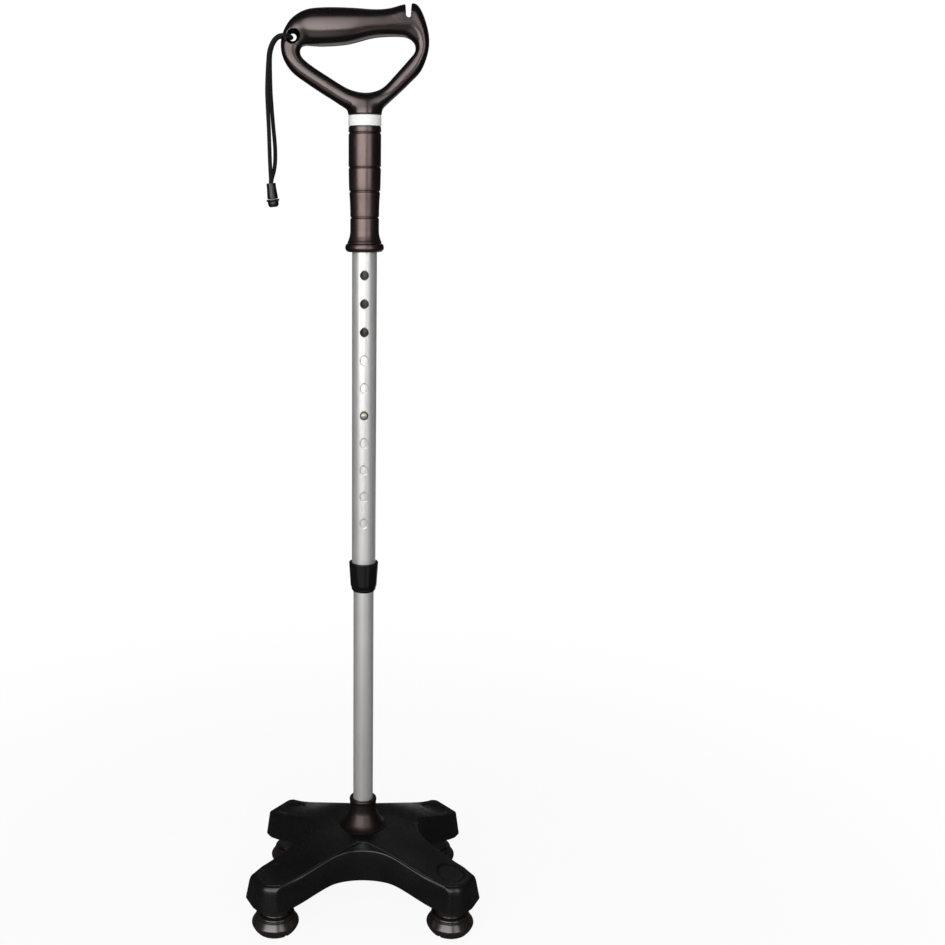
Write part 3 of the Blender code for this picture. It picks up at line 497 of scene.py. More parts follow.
def anodised(name, bore, roughness):
    """Satin anodised aluminium with faint long lines from drawing. Inside the bore it is painted dull and
    dark, a painted shade.
    """
    base = settings().colours.aluminium
    finish = Finish(name)
    lines = finish.noise(1.0, detail=2.0, vector=finish.stretched(900.0, 900.0, 9.0))
    clouds = finish.noise(45.0, detail=3.0)
    tone = finish.maths("ADD", finish.between(lines, 0.0, 0.5), finish.between(clouds, 0.0, 0.5))
    flat = finish.add("ShaderNodeVectorMath", {0: finish.stretched(1.0, 1.0, 0.0)}, operation="LENGTH")
    clear_of_bore_shade = finish.between(flat.outputs["Value"], 0.0, 1.0, bore + 0.0001, bore + 0.0004)
    drawn = finish.mixed(tone, rgba(base, 0.95), rgba(base))
    finish.shade(
        # The colour inside the bore is a painted shade, a quarter as bright as outside
        Base_Color=finish.mixed(clear_of_bore_shade, rgba(base, 0.25), drawn),
        Metallic=0.7,
        Roughness=finish.between(tone, roughness - 0.04, roughness + 0.04, 0.2, 0.8),
    )
    finish.bump(lines, 0.05, 0.0001)
    return finish.material


def gloss_black(name, roughness, shine=0.5):
    """Moulded gloss plastic: a slight ripple, and rubbed places that are a little duller."""
    tint = settings().colours.black
    finish = Finish(name)
    rubbed = finish.noise(35.0, detail=5.0, roughness=0.6)
    specks = finish.noise(1800.0)
    dulled = finish.between(rubbed, 0.0, 0.10, 0.45, 0.75)
    wear = finish.maths("ADD", dulled, finish.between(specks, 0.0, 0.05, 0.6, 0.8))
    finish.shade(
        Base_Color=finish.mixed(rubbed, rgba(tint), rgba(tint, 1.5)),
        Roughness=finish.maths("ADD", wear, roughness),
        Specular_IOR_Level=shine,
    )
    finish.bump(finish.noise(260.0), 0.05, 0.0004)
    return finish.material


def black_rubber():
    """Soft moulded rubber with a fine grain and a dusty bloom."""
    base = settings().colours.rubber
    finish = Finish("black_rubber")
    grain = finish.noise(2600.0)
    bloom = finish.noise(120.0, detail=4.0)
    finish.shade(
        Base_Color=finish.mixed(bloom, rgba(base), rgba(base, 1.6)),
        Roughness=finish.between(bloom, 0.22, 0.30),
        Specular_IOR_Level=1.0,
        Coat_Weight=0.65,
        Coat_Roughness=0.22,
        Coat_Tint=(1.0, 0.86, 0.84, 1.0),
    )
    finish.bump(grain, 0.12, 0.0001)
    return finish.material


def woven_cord():
    """Braided cord: two sets of strands that cross as they wind round it, from its UV map. The valleys
    between the strands are painted darker, a painted shade, and their crowns lighter, a painted highlight.
    """
    base = settings().colours.cord
    strand_count = 8.0
    finish = Finish("black_cord")
    place = finish.add("ShaderNodeSeparateXYZ", {0: finish.add("ShaderNodeUVMap").outputs["UV"]}).outputs
    around = finish.maths("MULTIPLY", place[0], strand_count * math.tau)
    strands = []
    for turn in (1.0, -1.0):
        along = finish.maths("MULTIPLY", place[1], turn * strand_count * math.tau)
        strands.append(finish.maths("SINE", finish.maths("ADD", around, along)))
    weave = finish.maths("MAXIMUM", *strands)
    height = finish.between(weave, 0.0, 1.0, -0.4, 1.0)
    fuzz = finish.noise(3000.0)
    finish.shade(
        # Painted shade in the valleys between strands and a painted highlight on their crowns
        Base_Color=finish.mixed(height, rgba(base, 0.5), rgba(base, 1.4)),
        Roughness=finish.between(fuzz, 0.65, 0.85),
        Sheen_Weight=0.03,
        Sheen_Roughness=0.5,
        Specular_IOR_Level=0.3,
    )
    finish.bump(height, 0.6, 0.0003)
    return finish.material


def grey_nylon():
    finish = Finish("grey_nylon")
    grain = finish.noise(1100.0)
    base = settings().colours.nylon
    finish.shade(
        Base_Color=finish.mixed(grain, rgba(base, 0.9), rgba(base, 1.1)),
        Roughness=finish.between(grain, 0.42, 0.55),
    )
    finish.bump(grain, 0.12, 0.0001)
    return finish.material


def polished_steel():
    finish = Finish("polished_steel")
    scuffs = finish.noise(900.0, detail=4.0)
    base = settings().colours.steel
    finish.shade(
        Base_Color=finish.mixed(scuffs, rgba(base, 0.9), rgba(base)),
        Metallic=1.0,
        Roughness=finish.between(scuffs, 0.34, 0.46),
    )
    finish.bump(scuffs, 0.06, 0.0001)
    return finish.material


def zinc_plate():
    """Zinc plate with its faint spangle."""
    finish = Finish("zinc_plate")
    cells = finish.add("ShaderNodeTexVoronoi", {"Vector": finish.place, "Scale": 700.0}).outputs["Distance"]
    base = settings().colours.zinc
    finish.shade(
        Base_Color=finish.mixed(cells, rgba(base, 0.8), rgba(base)),
        Metallic=1.0,
        Roughness=finish.between(cells, 0.24, 0.40),
    )
    finish.bump(finish.noise(1500.0), 0.10, 0.0001)
    return finish.material


def placed(name, data):
    """A new object in the scene."""
    thing = bpy.data.objects.new(name, data)
    bpy.context.scene.collection.objects.link(thing)
    return thing


def show(name, mesh, node, material=None):
    """Puts a piece where a CAD node is: it rides on the node's body and takes the node's place."""
    piece = placed(name, mesh)
    if material is not None:
        mesh.materials.clear()
        mesh.materials.append(material)
    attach(piece, body_of(node))
    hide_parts(node)
    return piece


def body_of(node):
    bodies = frame["record"]["behaviour"]["bodies"]
    return next(body for body, members in bodies.items() if node in members)


def refinish(node, material):
    """A CAD node keeps its shape and gets this material."""
    for slot in frame["nodes"][node].material_slots:
        slot.material = material


def closed_mesh(name, build):
    """A mesh that a function fills in, with its faces turned outwards."""
    work = bmesh.new()
    build(work)
    bmesh.ops.recalc_face_normals(work, faces=work.faces)
    mesh = bpy.data.meshes.new(name)
    work.to_mesh(mesh)
    work.free()
    return mesh


def smooth(mesh, degrees=32):
    """Shades a mesh smooth but for its sharp edges."""
    mesh.shade_smooth()
    mesh.set_sharp_from_angle(angle=math.radians(degrees))
    return mesh


def bridge(work, low, high):
    """Faces between two rows of vertices. A row of one vertex is a pole."""
    count = max(len(low), len(high))
    for k in range(count):
        m = (k + 1) % count
        corners = [low[k % len(low)], low[m % len(low)], high[m % len(high)], high[k % len(high)]]
        work.faces.new(list(dict.fromkeys(corners)))


def rounded(points, closed=True, steps=4):
    """A half section of (radius, z, rounding) as plain points, with its corners rounded off."""
    found = []
    count = len(points)
    for i, (radius, z, size) in enumerate(points):
        here = Vector((radius, z))
        if size == 0 or (not closed and i in (0, count - 1)):
            found.append((radius, z))
            continue
        before = Vector(points[i - 1][:2]) - here
        after = Vector(points[(i + 1) % count][:2]) - here
        start = here + before.normalized() * min(size, before.length * 0.49)
        end = here + after.normalized() * min(size, after.length * 0.49)
        for k in range(steps + 1):
            t = k / steps
            found.append(tuple(start.lerp(here, t).lerp(here.lerp(end, t), t)))
    return found


def turned(name, profile, steps=TURN_STEPS, closed=True, at=None):
    """A mesh turned round Z. The profile of (radius, z) runs down its outer side, and back up a bore."""
    def build(work):
        rows = []
        for radius, z in profile:
            angles = [math.tau * k / steps for k in range(steps)] if radius > MERGE else [0.0]
            rows.append([work.verts.new((radius * math.cos(a), radius * math.sin(a), z)) for a in angles])
        pairs = list(zip(rows, rows[1:]))
        if closed:
            pairs.append((rows[-1], rows[0]))
        for low, high in pairs:
            bridge(work, low, high)
        if at is not None:
            work.transform(at)
    return smooth(closed_mesh(name, build))


def rod(name, radius, low, high, steps=48):
    """A plain rod along Z, to cut or join with."""
    return turned(name, [(0.0, high), (radius, high), (radius, low), (0.0, low)], steps, closed=False)


def box(name, size, matrix):
    def build(work):
        bmesh.ops.create_cube(work, size=1.0, matrix=matrix @ Matrix.Diagonal((*size, 1.0)))
    return closed_mesh(name, build)


def moved(mesh, matrix):
    mesh.transform(matrix)
    return mesh


def along_y(x, y, z):
    """A frame at this place whose Z axis points along -Y."""
    return Matrix.Translation((x, y, z)) @ Matrix.Rotation(math.radians(90), 4, "X")


def evaluated(carrier):
    """The mesh that an object's modifiers make. The object goes."""
    result = bpy.data.meshes.new_from_object(carrier.evaluated_get(bpy.context.evaluated_depsgraph_get()))
    bpy.data.objects.remove(carrier)
    return result


def carrier_of(mesh):
    """An object for a mesh's modifiers."""
    return placed(mesh.name, mesh)


def combined(mesh, other, operation):
    """One mesh cut by another, or joined to it."""
    carrier, tool = carrier_of(mesh), carrier_of(other)
    modifier = carrier.modifiers.new("combine", "BOOLEAN")
    modifier.object = tool
    modifier.operation = operation
    modifier.solver = "EXACT"
    result = evaluated(carrier)
    bpy.data.objects.remove(tool)
    return result


def softened(mesh, voxel, repeats):
    """A mesh melted into one even skin whose edges and inner corners are rounded."""
    carrier = carrier_of(mesh)
    remesh = carrier.modifiers.new("melt", "REMESH")
    remesh.mode = "VOXEL"
    remesh.voxel_size = voxel
    calm = carrier.modifiers.new("calm", "SMOOTH")
    calm.factor = 0.5
    calm.iterations = repeats
    return evaluated(carrier)


def eased(mesh, centre, reach, low, repeats):
    """Smooths a mesh round a place, less and less towards its reach, and not below a height."""
    carrier = carrier_of(mesh)
    group = carrier.vertex_groups.new(name="near")
    for vertex in mesh.vertices:
        near = 1 - (vertex.co - centre).length / reach
        above = (vertex.co.z - low) / (reach / 6)
        weight = min(near * 2, above, 1.0)
        if weight > 0:
            group.add([vertex.index], weight, "REPLACE")
    calm = carrier.modifiers.new("calm", "SMOOTH")
    calm.factor = 0.5
    calm.iterations = repeats
    calm.vertex_group = group.name
    return evaluated(carrier)


def grown(mesh, tree, inputs):
    """What a geometry node tree makes of a mesh, as a plain mesh."""
    carrier = carrier_of(mesh)
    modifier = carrier.modifiers.new(tree.name, "NODES")
    modifier.node_group = tree
    for item in tree.interface.items_tree:
        if item.in_out == "INPUT" and item.name in inputs:
            modifier[item.identifier] = inputs[item.name]
    carrier.update_tag()
    return evaluated(carrier)


def growing_tree(name, *sizes):
    """The graph of a new geometry node tree, and its inputs: a mesh, the named sizes and a material."""
    tree = bpy.data.node_groups.new(name, "GeometryNodeTree")
    tree.is_modifier = True
    tree.interface.new_socket("Geometry", in_out="INPUT", socket_type="NodeSocketGeometry")
    for label in sizes:
        kind = "NodeSocketInt" if label == "Count" else "NodeSocketFloat"
        tree.interface.new_socket(label, in_out="INPUT", socket_type=kind)
    tree.interface.new_socket("Material", in_out="INPUT", socket_type="NodeSocketMaterial")
    tree.interface.new_socket("Geometry", in_out="OUTPUT", socket_type="NodeSocketGeometry")
    graph = Graph(tree)
    return graph, graph.add("NodeGroupInput").outputs


def cut_with_copies(graph, given, points, cutter, turn):
    """Ends a tree: copies of a cutter on points are taken from the given mesh."""
    placing = {"Points": points, "Instance": cutter, "Rotation": turn}
    copies = graph.add("GeometryNodeInstanceOnPoints", placing).outputs[0]
    tools = graph.add("GeometryNodeRealizeInstances", {0: copies}).outputs[0]
    cutting = {"Mesh 1": given["Geometry"], "Mesh 2": tools, "Self Intersection": True}
    cut = graph.add("GeometryNodeMeshBoolean", cutting, operation="DIFFERENCE", solver="EXACT").outputs[0]
    whole = graph.add("GeometryNodeRealizeInstances", {0: cut}).outputs[0]
    dressing = {"Geometry": whole, "Material": given["Material"]}
    graph.add("NodeGroupOutput", {"Geometry": graph.add("GeometryNodeSetMaterial", dressing).outputs[0]})
    return graph.tree


def turn_per_copy(graph, step, lean=0.0, start=0.0):
    """A rotation that leans each copy and turns it round Z by its number times a step."""
    index = graph.add("GeometryNodeInputIndex").outputs[0]
    turned_by = graph.maths("ADD", graph.maths("MULTIPLY", index, step), start)
    return graph.vector(y=lean, z=turned_by)


def hole_row_tree():
    """Round holes in a row down the front of a tube, each with a bevelled rim."""
    graph, given = growing_tree("Hole row", "Count", "Pitch", "Top", "Radius", "Depth", "Bevel")
    radius, bevel = given["Radius"], given["Bevel"]

    def times(size, factor):
        return graph.maths("MULTIPLY", size, factor)

    row = {
        "Count": given["Count"],
        "Start Location": graph.vector(y=times(given["Depth"], -1.0), z=given["Top"]),
        "Offset": graph.vector(z=times(given["Pitch"], -1.0)),
    }
    points = graph.add("GeometryNodeMeshLine", row).outputs[0]
    drill = {"Vertices": HOLE_SIDES, "Radius": radius, "Depth": given["Depth"]}
    cone = {
        "Vertices": HOLE_SIDES,
        "Radius Top": graph.maths("ADD", radius, times(bevel, 4.0)),
        "Radius Bottom": radius,
        "Depth": times(bevel, 2.0),
    }
    sunk = {
        "Geometry": graph.add("GeometryNodeMeshCone", cone).outputs["Mesh"],
        "Translation": graph.vector(z=times(bevel, -1.0)),
    }
    tool = graph.add("GeometryNodeJoinGeometry")
    graph.feed(tool.inputs[0], graph.add("GeometryNodeMeshCylinder", drill).outputs["Mesh"])
    graph.feed(tool.inputs[0], graph.add("GeometryNodeTransform", sunk).outputs[0])
    turn = graph.vector(x=math.radians(90))
    return cut_with_copies(graph, given, points, tool.outputs[0], turn)


def flute_tree():
    """Flutes round a turned piece, cut by leaning rods that stand on a ring."""
    graph, given = growing_tree("Flutes", "Count", "Ring", "Radius", "Length", "Height", "Lean")
    ring = {"Vertices": given["Count"], "Radius": given["Ring"]}
    raised = {
        "Geometry": graph.add("GeometryNodeMeshCircle", ring).outputs[0],
        "Translation": graph.vector(z=given["Height"]),
    }
    points = graph.add("GeometryNodeTransform", raised).outputs[0]
    rods = {"Vertices": FLUTE_SIDES, "Radius": given["Radius"], "Depth": given["Length"]}
    cutter = graph.add("GeometryNodeMeshCylinder", rods).outputs["Mesh"]
    step = graph.maths("DIVIDE", math.tau, given["Count"])
    return cut_with_copies(graph, given, points, cutter, turn_per_copy(graph, step, given["Lean"]))


def tread_tree():
    """Two crossed grooves under a rubber foot."""
    graph, given = growing_tree("Tread", "Width", "Depth", "Reach", "Turn")
    pair = graph.add("GeometryNodeMeshLine", {"Count": 2, "Offset": (0.0, 0.0, 0.0)}).outputs[0]
    deep = graph.maths("MULTIPLY", given["Depth"], 2.0)
    size = graph.vector(x=given["Reach"], y=given["Width"], z=deep)
    bar = graph.add("GeometryNodeMeshCube", {"Size": size}).outputs["Mesh"]
    turn = turn_per_copy(graph, math.radians(90), start=given["Turn"])
    return cut_with_copies(graph, given, pair, bar, turn)


def smooth_through(points, between, closed):
    """Points along a smooth curve through the given ones, with some more between each two."""
    count = len(points)
    spans = count if closed else count - 1
    found = []
    for i in range(spans):
        if closed:
            before, start, end, after = (points[(i + k) % count] for k in (-1, 0, 1, 2))
        else:
            before, start = points[max(i - 1, 0)], points[i]
            end, after = points[i + 1], points[min(i + 2, count - 1)]
        for k in range(between + 1):
            t = k / (between + 1)
            found.append([
                0.5 * (2 * b + (c - a) * t + (2 * a - 5 * b + 4 * c - d) * t**2
                       + (3 * b - a - 3 * c + d) * t**3)
                for a, b, c, d in zip(before, start, end, after)
            ])
    if not closed:
        found.append(list(points[-1]))
    return found


def evenly_along(points, step):
    """The same line as points at even steps, and its length."""
    places = [Vector(p) for p in points]
    along = [0.0]
    for a, b in zip(places, places[1:]):
        along.append(along[-1] + (b - a).length)
    count = math.ceil(along[-1] / step)
    found, i = [], 0
    for k in range(count + 1):
        at = along[-1] * k / count
        while i < len(places) - 2 and along[i + 1] < at:
            i += 1
        share = (at - along[i]) / (along[i + 1] - along[i])
        found.append(places[i].lerp(places[i + 1], share))
    return found, along[-1]


def cord_mesh(line, radius):
    """A round cord along a line, closed at both ends. Its UV map runs round it and along it."""
    work = bmesh.new()
    uv = work.loops.layers.uv.new("weave")
    rows, side = [], Vector((0.0, 1.0, 0.0))
    for i, here in enumerate(line):
        ahead = (line[min(i + 1, len(line) - 1)] - line[max(i - 1, 0)]).normalized()
        side = (side - ahead * side.dot(ahead)).normalized()
        other = ahead.cross(side)
        rows.append([
            work.verts.new(here + (side * math.cos(a) + other * math.sin(a)) * radius)
            for a in (math.tau * k / STRAP_SIDES for k in range(STRAP_SIDES))
        ])
    stretch = STRAP_STEP / (math.tau * radius)
    for i, (low, high) in enumerate(zip(rows, rows[1:])):
        for k in range(STRAP_SIDES):
            m = (k + 1) % STRAP_SIDES
            face = work.faces.new((low[k], low[m], high[m], high[k]))
            for loop, (u, v) in zip(face.loops, ((k, i), (k + 1, i), (k + 1, i + 1), (k, i + 1))):
                loop[uv].uv = (u / STRAP_SIDES, v * stretch)
    work.faces.new(rows[0][::-1])
    work.faces.new(rows[-1])
    mesh = bpy.data.meshes.new("wrist_cord")
    work.to_mesh(mesh)
    work.free()
    return smooth(mesh, 60)


def bell_profile():
    return rounded([
        (0.0, -GAP, 0),
        (0.0036, -GAP, 0),
        (0.0036, 0.0005, 0.0001),
        (0.0040, 0.0005, 0.0003),
        (0.0041, -0.0040, 0.0010),
        (0.0046, -0.0100, 0.0010),
        (0.0046, -BELL_LENGTH, 0.0005),
        (0.0, -BELL_LENGTH, 0),
    ], closed=False)


def plug_profile():
    top = -BELL_LENGTH - GAP
    return rounded([
        (0.0, top, 0),
        (0.0057, top, 0.0005),
        (0.0057, top - 0.0014, 0.0005),
        (0.0047, top - 0.0019, 0.0003),
        (0.0047, top - 0.0046, 0.0016),
        (0.0036, top - PLUG_LENGTH, 0.0012),
        (0.0, top - PLUG_LENGTH, 0),
    ], closed=False)


def make_strap():
    sizes = settings().sizes
    line, long = evenly_along(smooth_through(STRAP_ROUTE, STRAP_BETWEEN, closed=False), STRAP_STEP)
    cord = show("wrist_cord", cord_mesh(line, sizes.cord_diameter / 2), "strap_cord", woven_cord())
    black = gloss_black("strap_plastic", 0.22)
    at = Matrix.Translation(BELL_TOP) @ Matrix.Rotation(-BELL_LEAN, 4, "Y")
    bell = turned("cord_bell", bell_profile(), BELL_SIDES, closed=False, at=at)
    bell = show("cord_bell", bell, "strap_bell", black)
    plug = turned("cord_plug", plug_profile(), BELL_SIDES, closed=False, at=at)
    plug = show("cord_plug", plug, "strap_plug", black)


def loop_ring(station):
    """The points round one section of the handle loop, from its outer edge to its inner and back."""
    outer_x, outer_z, inner_x, inner_z, depth = station
    middle = Vector(((outer_x + inner_x) / 2, 0.0, (outer_z + inner_z) / 2))
    across = Vector((outer_x, 0.0, outer_z)) - middle
    ring = []
    for k in range(LOOP_SIDES):
        angle = math.tau * k / LOOP_SIDES
        c, s = math.cos(angle), math.sin(angle)
        wide = math.copysign(abs(c) ** LOOP_FULLNESS, c)
        deep = math.copysign(abs(s) ** LOOP_FULLNESS, s)
        ring.append(middle + across * wide + Vector((0.0, depth / 2 * deep, 0.0)))
    return ring


def loop_mesh():
    """The handle's closed loop, lofted through its stations."""
    rings = [loop_ring(s) for s in smooth_through(LOOP_STATIONS, LOOP_BETWEEN, closed=True)]

    def build(work):
        rows = [[work.verts.new(p) for p in ring] for ring in rings]
        for row, after in zip(rows, rows[1:] + rows[:1]):
            bridge(work, row, after)
    return closed_mesh("handle_loop", build)


def notch_cutter():
    """The hanging notch: a slot with a round bottom that opens a little at its top."""
    round_z = NOTCH_BOTTOM + NOTCH_HALF
    tool = rod("notch", NOTCH_HALF, -CUTTER_REACH, CUTTER_REACH)
    tool.transform(along_y(NOTCH_X, 0.0, round_z))
    for vertex in tool.vertices:
        if vertex.co.z > round_z + MERGE:
            vertex.co.z += NOTCH_HEIGHT
            vertex.co.x += (vertex.co.x - NOTCH_X) * NOTCH_WIDENING
    return tool


def eyelet_cutter():
    """The strap's eyelet, countersunk on both sides."""
    half, rim_y = 0.0160, 0.0052
    sink_depth = 0.0022
    mouth = EYELET_RIM + 0.0030
    side = [
        (0.0, half),
        (mouth, half),
        (EYELET_RIM, rim_y),
        (EYELET_RADIUS, rim_y - sink_depth),
    ]
    profile = side + [(radius, -z) for radius, z in side[::-1]]
    return turned("eyelet", profile, 48, closed=False, at=along_y(*EYELET))


def neck_profile():
    return [
        (0.0, 0.7594),
        (0.0060, 0.7586),
        (0.0105, 0.7560),
        (0.0140, 0.7512),
        (0.0150, 0.7468),
        (NECK_RADIUS, NECK_LOW),
        (0.0, NECK_LOW),
    ]


def make_handle():
    overlap, open_below = 0.0020, 0.7000
    handle = combined(loop_mesh(), turned("neck", neck_profile(), closed=False), "UNION")
    handle = combined(handle, notch_cutter(), "DIFFERENCE")
    handle = combined(handle, eyelet_cutter(), "DIFFERENCE")
    handle = softened(handle, HANDLE_VOXEL, HANDLE_CALMING)
    handle = eased(handle, NECK_BLEND, NECK_BLEND_REACH, NECK_BLEND_LOW, NECK_BLEND_CALMING)
    skirt = rod("skirt", SKIRT_RADIUS, SKIRT_LOW, NECK_LOW + overlap, TURN_STEPS)
    handle = combined(handle, skirt, "UNION")
    socket = rod("socket", settings().sizes.outer_radius + GAP, open_below, OUTER_HIGH + GAP, TURN_STEPS)
    handle = combined(handle, socket, "DIFFERENCE")
    handle = smooth(combined(handle, pin_drill(), "DIFFERENCE"), 40)
    lacquer = bronze_lacquer("handle_lacquer", roughness=0.30, coat=0.9, brightness=0.40)
    show("handle", handle, "handle_frame", lacquer)
    refinish("handle_pin", zinc_plate())


def sleeve_profile(groove_depth):
    """The grip sleeve, top to bottom, with its grooves. Below a groove the edge is rounded wider."""
    outline = [
        (0.0137, SLEEVE_HIGH),
        (0.0141, SLEEVE_HIGH - 0.0006),
        (0.0141, 0.6994),
        (0.0138, 0.6845),
        (0.01355, 0.6790),
        (0.0130, 0.6718),
        (0.01265, 0.6630),
        (0.0126, 0.6445),
        (0.0131, 0.6405),
        (0.0145, 0.6365),
        (0.0166, 0.6332),
        (0.01725, 0.6305),
        (0.0166, 0.6288),
        (0.0148, SLEEVE_LOW),
    ]
    above, below = 0.0006, 0.0012
    points = []
    for radius, z in outline:
        if all(not -below < z - groove < above for groove in SLEEVE_GROOVES):
            points.append((radius, z, 0.0012))
    for z in SLEEVE_GROOVES:
        points.append((radius_at(outline, z + above), z + above, 0.0004))
        points.append((radius_at(outline, z) - groove_depth, z + above / 2, 0.0002))
        points.append((radius_at(outline, z) - groove_depth, z - above / 2, 0.0002))
        points.append((radius_at(outline, z - below), z - below, 0.0010))
    points.sort(key=lambda point: -point[1])
    bore = settings().sizes.outer_radius + GAP
    return rounded(points + [(bore, SLEEVE_LOW, 0), (bore, SLEEVE_HIGH, 0)])


def radius_at(outline, z):
    for (top_radius, top), (low_radius, low) in zip(outline, outline[1:]):
        if low <= z <= top:
            return low_radius + (top_radius - low_radius) * (z - low) / (top - low)
    raise ValueError(f"no outline at {z}")


def make_grip():
    sleeve = turned("grip", sleeve_profile(settings().sizes.groove_depth))
    lacquer = bronze_lacquer("grip_lacquer", roughness=0.36, coat=0.25, brightness=0.8)
    show("grip", sleeve, "sleeve_grip", lacquer)


def make_band():
    """The pale band, with two fine lines round it."""
    low, high = SLEEVE_HIGH + GAP, NECK_LOW - GAP
    bore = SKIRT_RADIUS + GAP
    line = 0.0002
    edge = 0.0005
    points = [(bore, high, 0), (BAND_RADIUS, high, edge)]
    for z in (high - 0.0030, low + 0.0026):
        for step, depth in ((line, 0.0), (0.0, line), (-line, 0.0)):
            points.append((BAND_RADIUS - depth, z + step, line))
    points += [(BAND_RADIUS, low, edge), (bore, low, 0)]
    show("band", turned("band", rounded(points)), "white_band", white_plastic())


def tube_profile(outer, bore, low, high):
    edge = 0.0002
    return rounded([(outer, high, edge), (outer, low, edge), (bore, low, edge), (bore, high, edge)])


def pin_drill():
    """The cross pin's hole."""
    drill = rod("pin_drill", PIN_RADIUS + GAP, -CUTTER_REACH, CUTTER_REACH, 24)
    return moved(drill, along_y(0.0, 0.0, PIN_Z))


def drilled(tube, count, top, radius, depth, bevel, material):
    """A tube with holes down its front."""
    inputs = {
        "Count": count,
        "Pitch": settings().sizes.hole_pitch,
        "Top": top,
        "Radius": radius,
        "Depth": depth,
        "Bevel": bevel,
        "Material": material,
    }
    return smooth(grown(tube, hole_row_tree(), inputs), 20)


def make_tubes():
    sizes = settings().sizes
    outer, bore = sizes.outer_radius, sizes.outer_bore
    tube = turned("upper_tube", tube_profile(outer, bore, OUTER_LOW, OUTER_HIGH))
    tube = combined(tube, pin_drill(), "DIFFERENCE")
    metal = anodised("upper_tube", bore, 0.40)
    tube = drilled(tube, sizes.hole_count, HOLE_TOP, sizes.hole_radius, outer, sizes.hole_bevel, metal)
    show("upper_tube", tube, "outer_tube")

    inner, bore = sizes.inner_radius, sizes.inner_bore
    tube = turned("lower_tube", tube_profile(inner, bore, INNER_LOW, INNER_HIGH))
    metal = anodised("lower_tube", bore, 0.42)
    tube = drilled(tube, 1, button_z(), sizes.button_radius + GAP, inner, GAP / 2, metal)
    show("lower_tube", tube, "inner_tube")

    nylon = grey_nylon()
    refinish("inner_tube_guide", nylon)
    refinish("collar_bush", nylon)
    refinish("tube_end_nut", zinc_plate())


def button_z():
    return HOLE_TOP - (BUTTON_HOLE - 1) * settings().sizes.hole_pitch


def make_button():
    """A domed pin that points to -Y, with a flange inside the lower tube."""
    radius = settings().sizes.button_radius
    tip = BUTTON_FOOT_Y - BUTTON_TIP_Y
    dome = 0.0014
    flange, flange_radius = 0.0006, 0.0045
    edge = 0.0002
    profile = [
        (radius * math.sin(a), tip - dome * (1 - math.cos(a)))
        for a in (math.radians(9 * k) for k in range(11))
    ]
    profile += rounded([
        (radius, tip - dome, 0),
        (radius, flange, edge),
        (flange_radius, flange, edge),
        (flange_radius, 0.0, edge),
        (0.0, 0.0, 0),
    ], closed=False)[1:]
    at = along_y(0.0, BUTTON_FOOT_Y, button_z())
    show("button", turned("button", profile, 48, closed=False, at=at), "snap_button", polished_steel())


def make_spring():
    """The leaf spring keeps its CAD shape."""
    mesh = frame["nodes"]["button_spring"].data.copy()
    work = bmesh.new()
    work.from_mesh(mesh)
    bmesh.ops.remove_doubles(work, verts=work.verts, dist=MERGE)
    work.to_mesh(mesh)
    work.free()
    spring = show("leaf_spring", smooth(mesh), "button_spring", polished_steel())
    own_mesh(spring)


def make_collar():
    sizes = settings().sizes
    bore = sizes.outer_radius + GAP
    lip_bore = sizes.inner_radius + 0.0004
    seat = COLLAR_LOW + 0.0018
    chamfer = 0.0012
    profile = rounded([
        (bore, COLLAR_HIGH, 0.0004),
        (COLLAR_TOP_RADIUS, COLLAR_HIGH, 0.0010),
        (COLLAR_LOW_RADIUS, COLLAR_LOW + 0.0060, 0.0010),
        (COLLAR_LOW_RADIUS - chamfer, COLLAR_LOW + 0.0022, 0.0008),
        (lip_bore, COLLAR_LOW, 0.0004),
        (lip_bore, seat, 0.0002),
        (bore, seat, 0.0002),
    ])
    height = COLLAR_HIGH - COLLAR_LOW
    black = gloss_black("collar_black", 0.20, shine=0.28)
    inputs = {
        "Count": sizes.flute_count,
        "Ring": COLLAR_TOP_RADIUS + 0.0012,
        "Radius": sizes.flute_radius,
        "Length": height * 0.66,
        "Height": COLLAR_LOW + height * 0.45,
        "Lean": math.atan2(COLLAR_TOP_RADIUS - COLLAR_LOW_RADIUS, height),
        "Material": black,
    }
    show("collar", smooth(grown(turned("collar", profile), flute_tree(), inputs)), "lock_collar")


def soft_step(share):
    """A share from 0 to 1, made slow at both ends."""
    t = min(max(share, 0.0), 1.0)
    return t * t * (3 - 2 * t)


def sink(radius, slope):
    """How far, from 0 to 1, a surface of the base has sunk at a plan radius."""
    start, end = slope
    return soft_step((radius - start) / (end - start))


def base_height(x, y, share):
    """The height above the floor, from the skirt's edge (share 0) to the top skin (share 1)."""
    radius = math.hypot(x, y)
    low = SKIRT_HEIGHT - SKIRT_DROP * sink(radius, SKIRT_SLOPE)
    high = TOP_HEIGHT - TOP_DROP * sink(radius, TOP_SLOPE)
    return low + share * (high - low)


def foot_x(side_y):
    return FRONT_FOOT_X if side_y == FRONT else REAR_FOOT_X


def foot_places():
    return {leg: (side_x * foot_x(side_y), side_y * FOOT_Y) for leg, (side_x, side_y) in LEGS.items()}


def edge_size(x, y):
    """How far below the top its rounded edge begins."""
    if y > 0:
        return LEG_EDGE
    return LEG_EDGE + (TIP_FALL - LEG_EDGE) * sink(math.hypot(x, y), TIP_REACH)


def quarter_corners(side_x, side_y, front_arch):
    """One leg's corners (x, y, radius, lean share, at front tip), from its arch to its side."""
    front = side_y == FRONT
    arch, tip = (front_arch, FRONT_TIP) if front else (REAR_ARCH_CORNER, REAR_TIP)
    corners = [(*arch, False)]
    corners += [(foot_x(side_y) + dx, FOOT_Y + dy, radius, 1.0, front) for dx, dy, radius in tip]
    corners += [(*SIDE_CORNER, False)]
    return [(side_x * x, side_y * y, *rest) for x, y, *rest in corners]


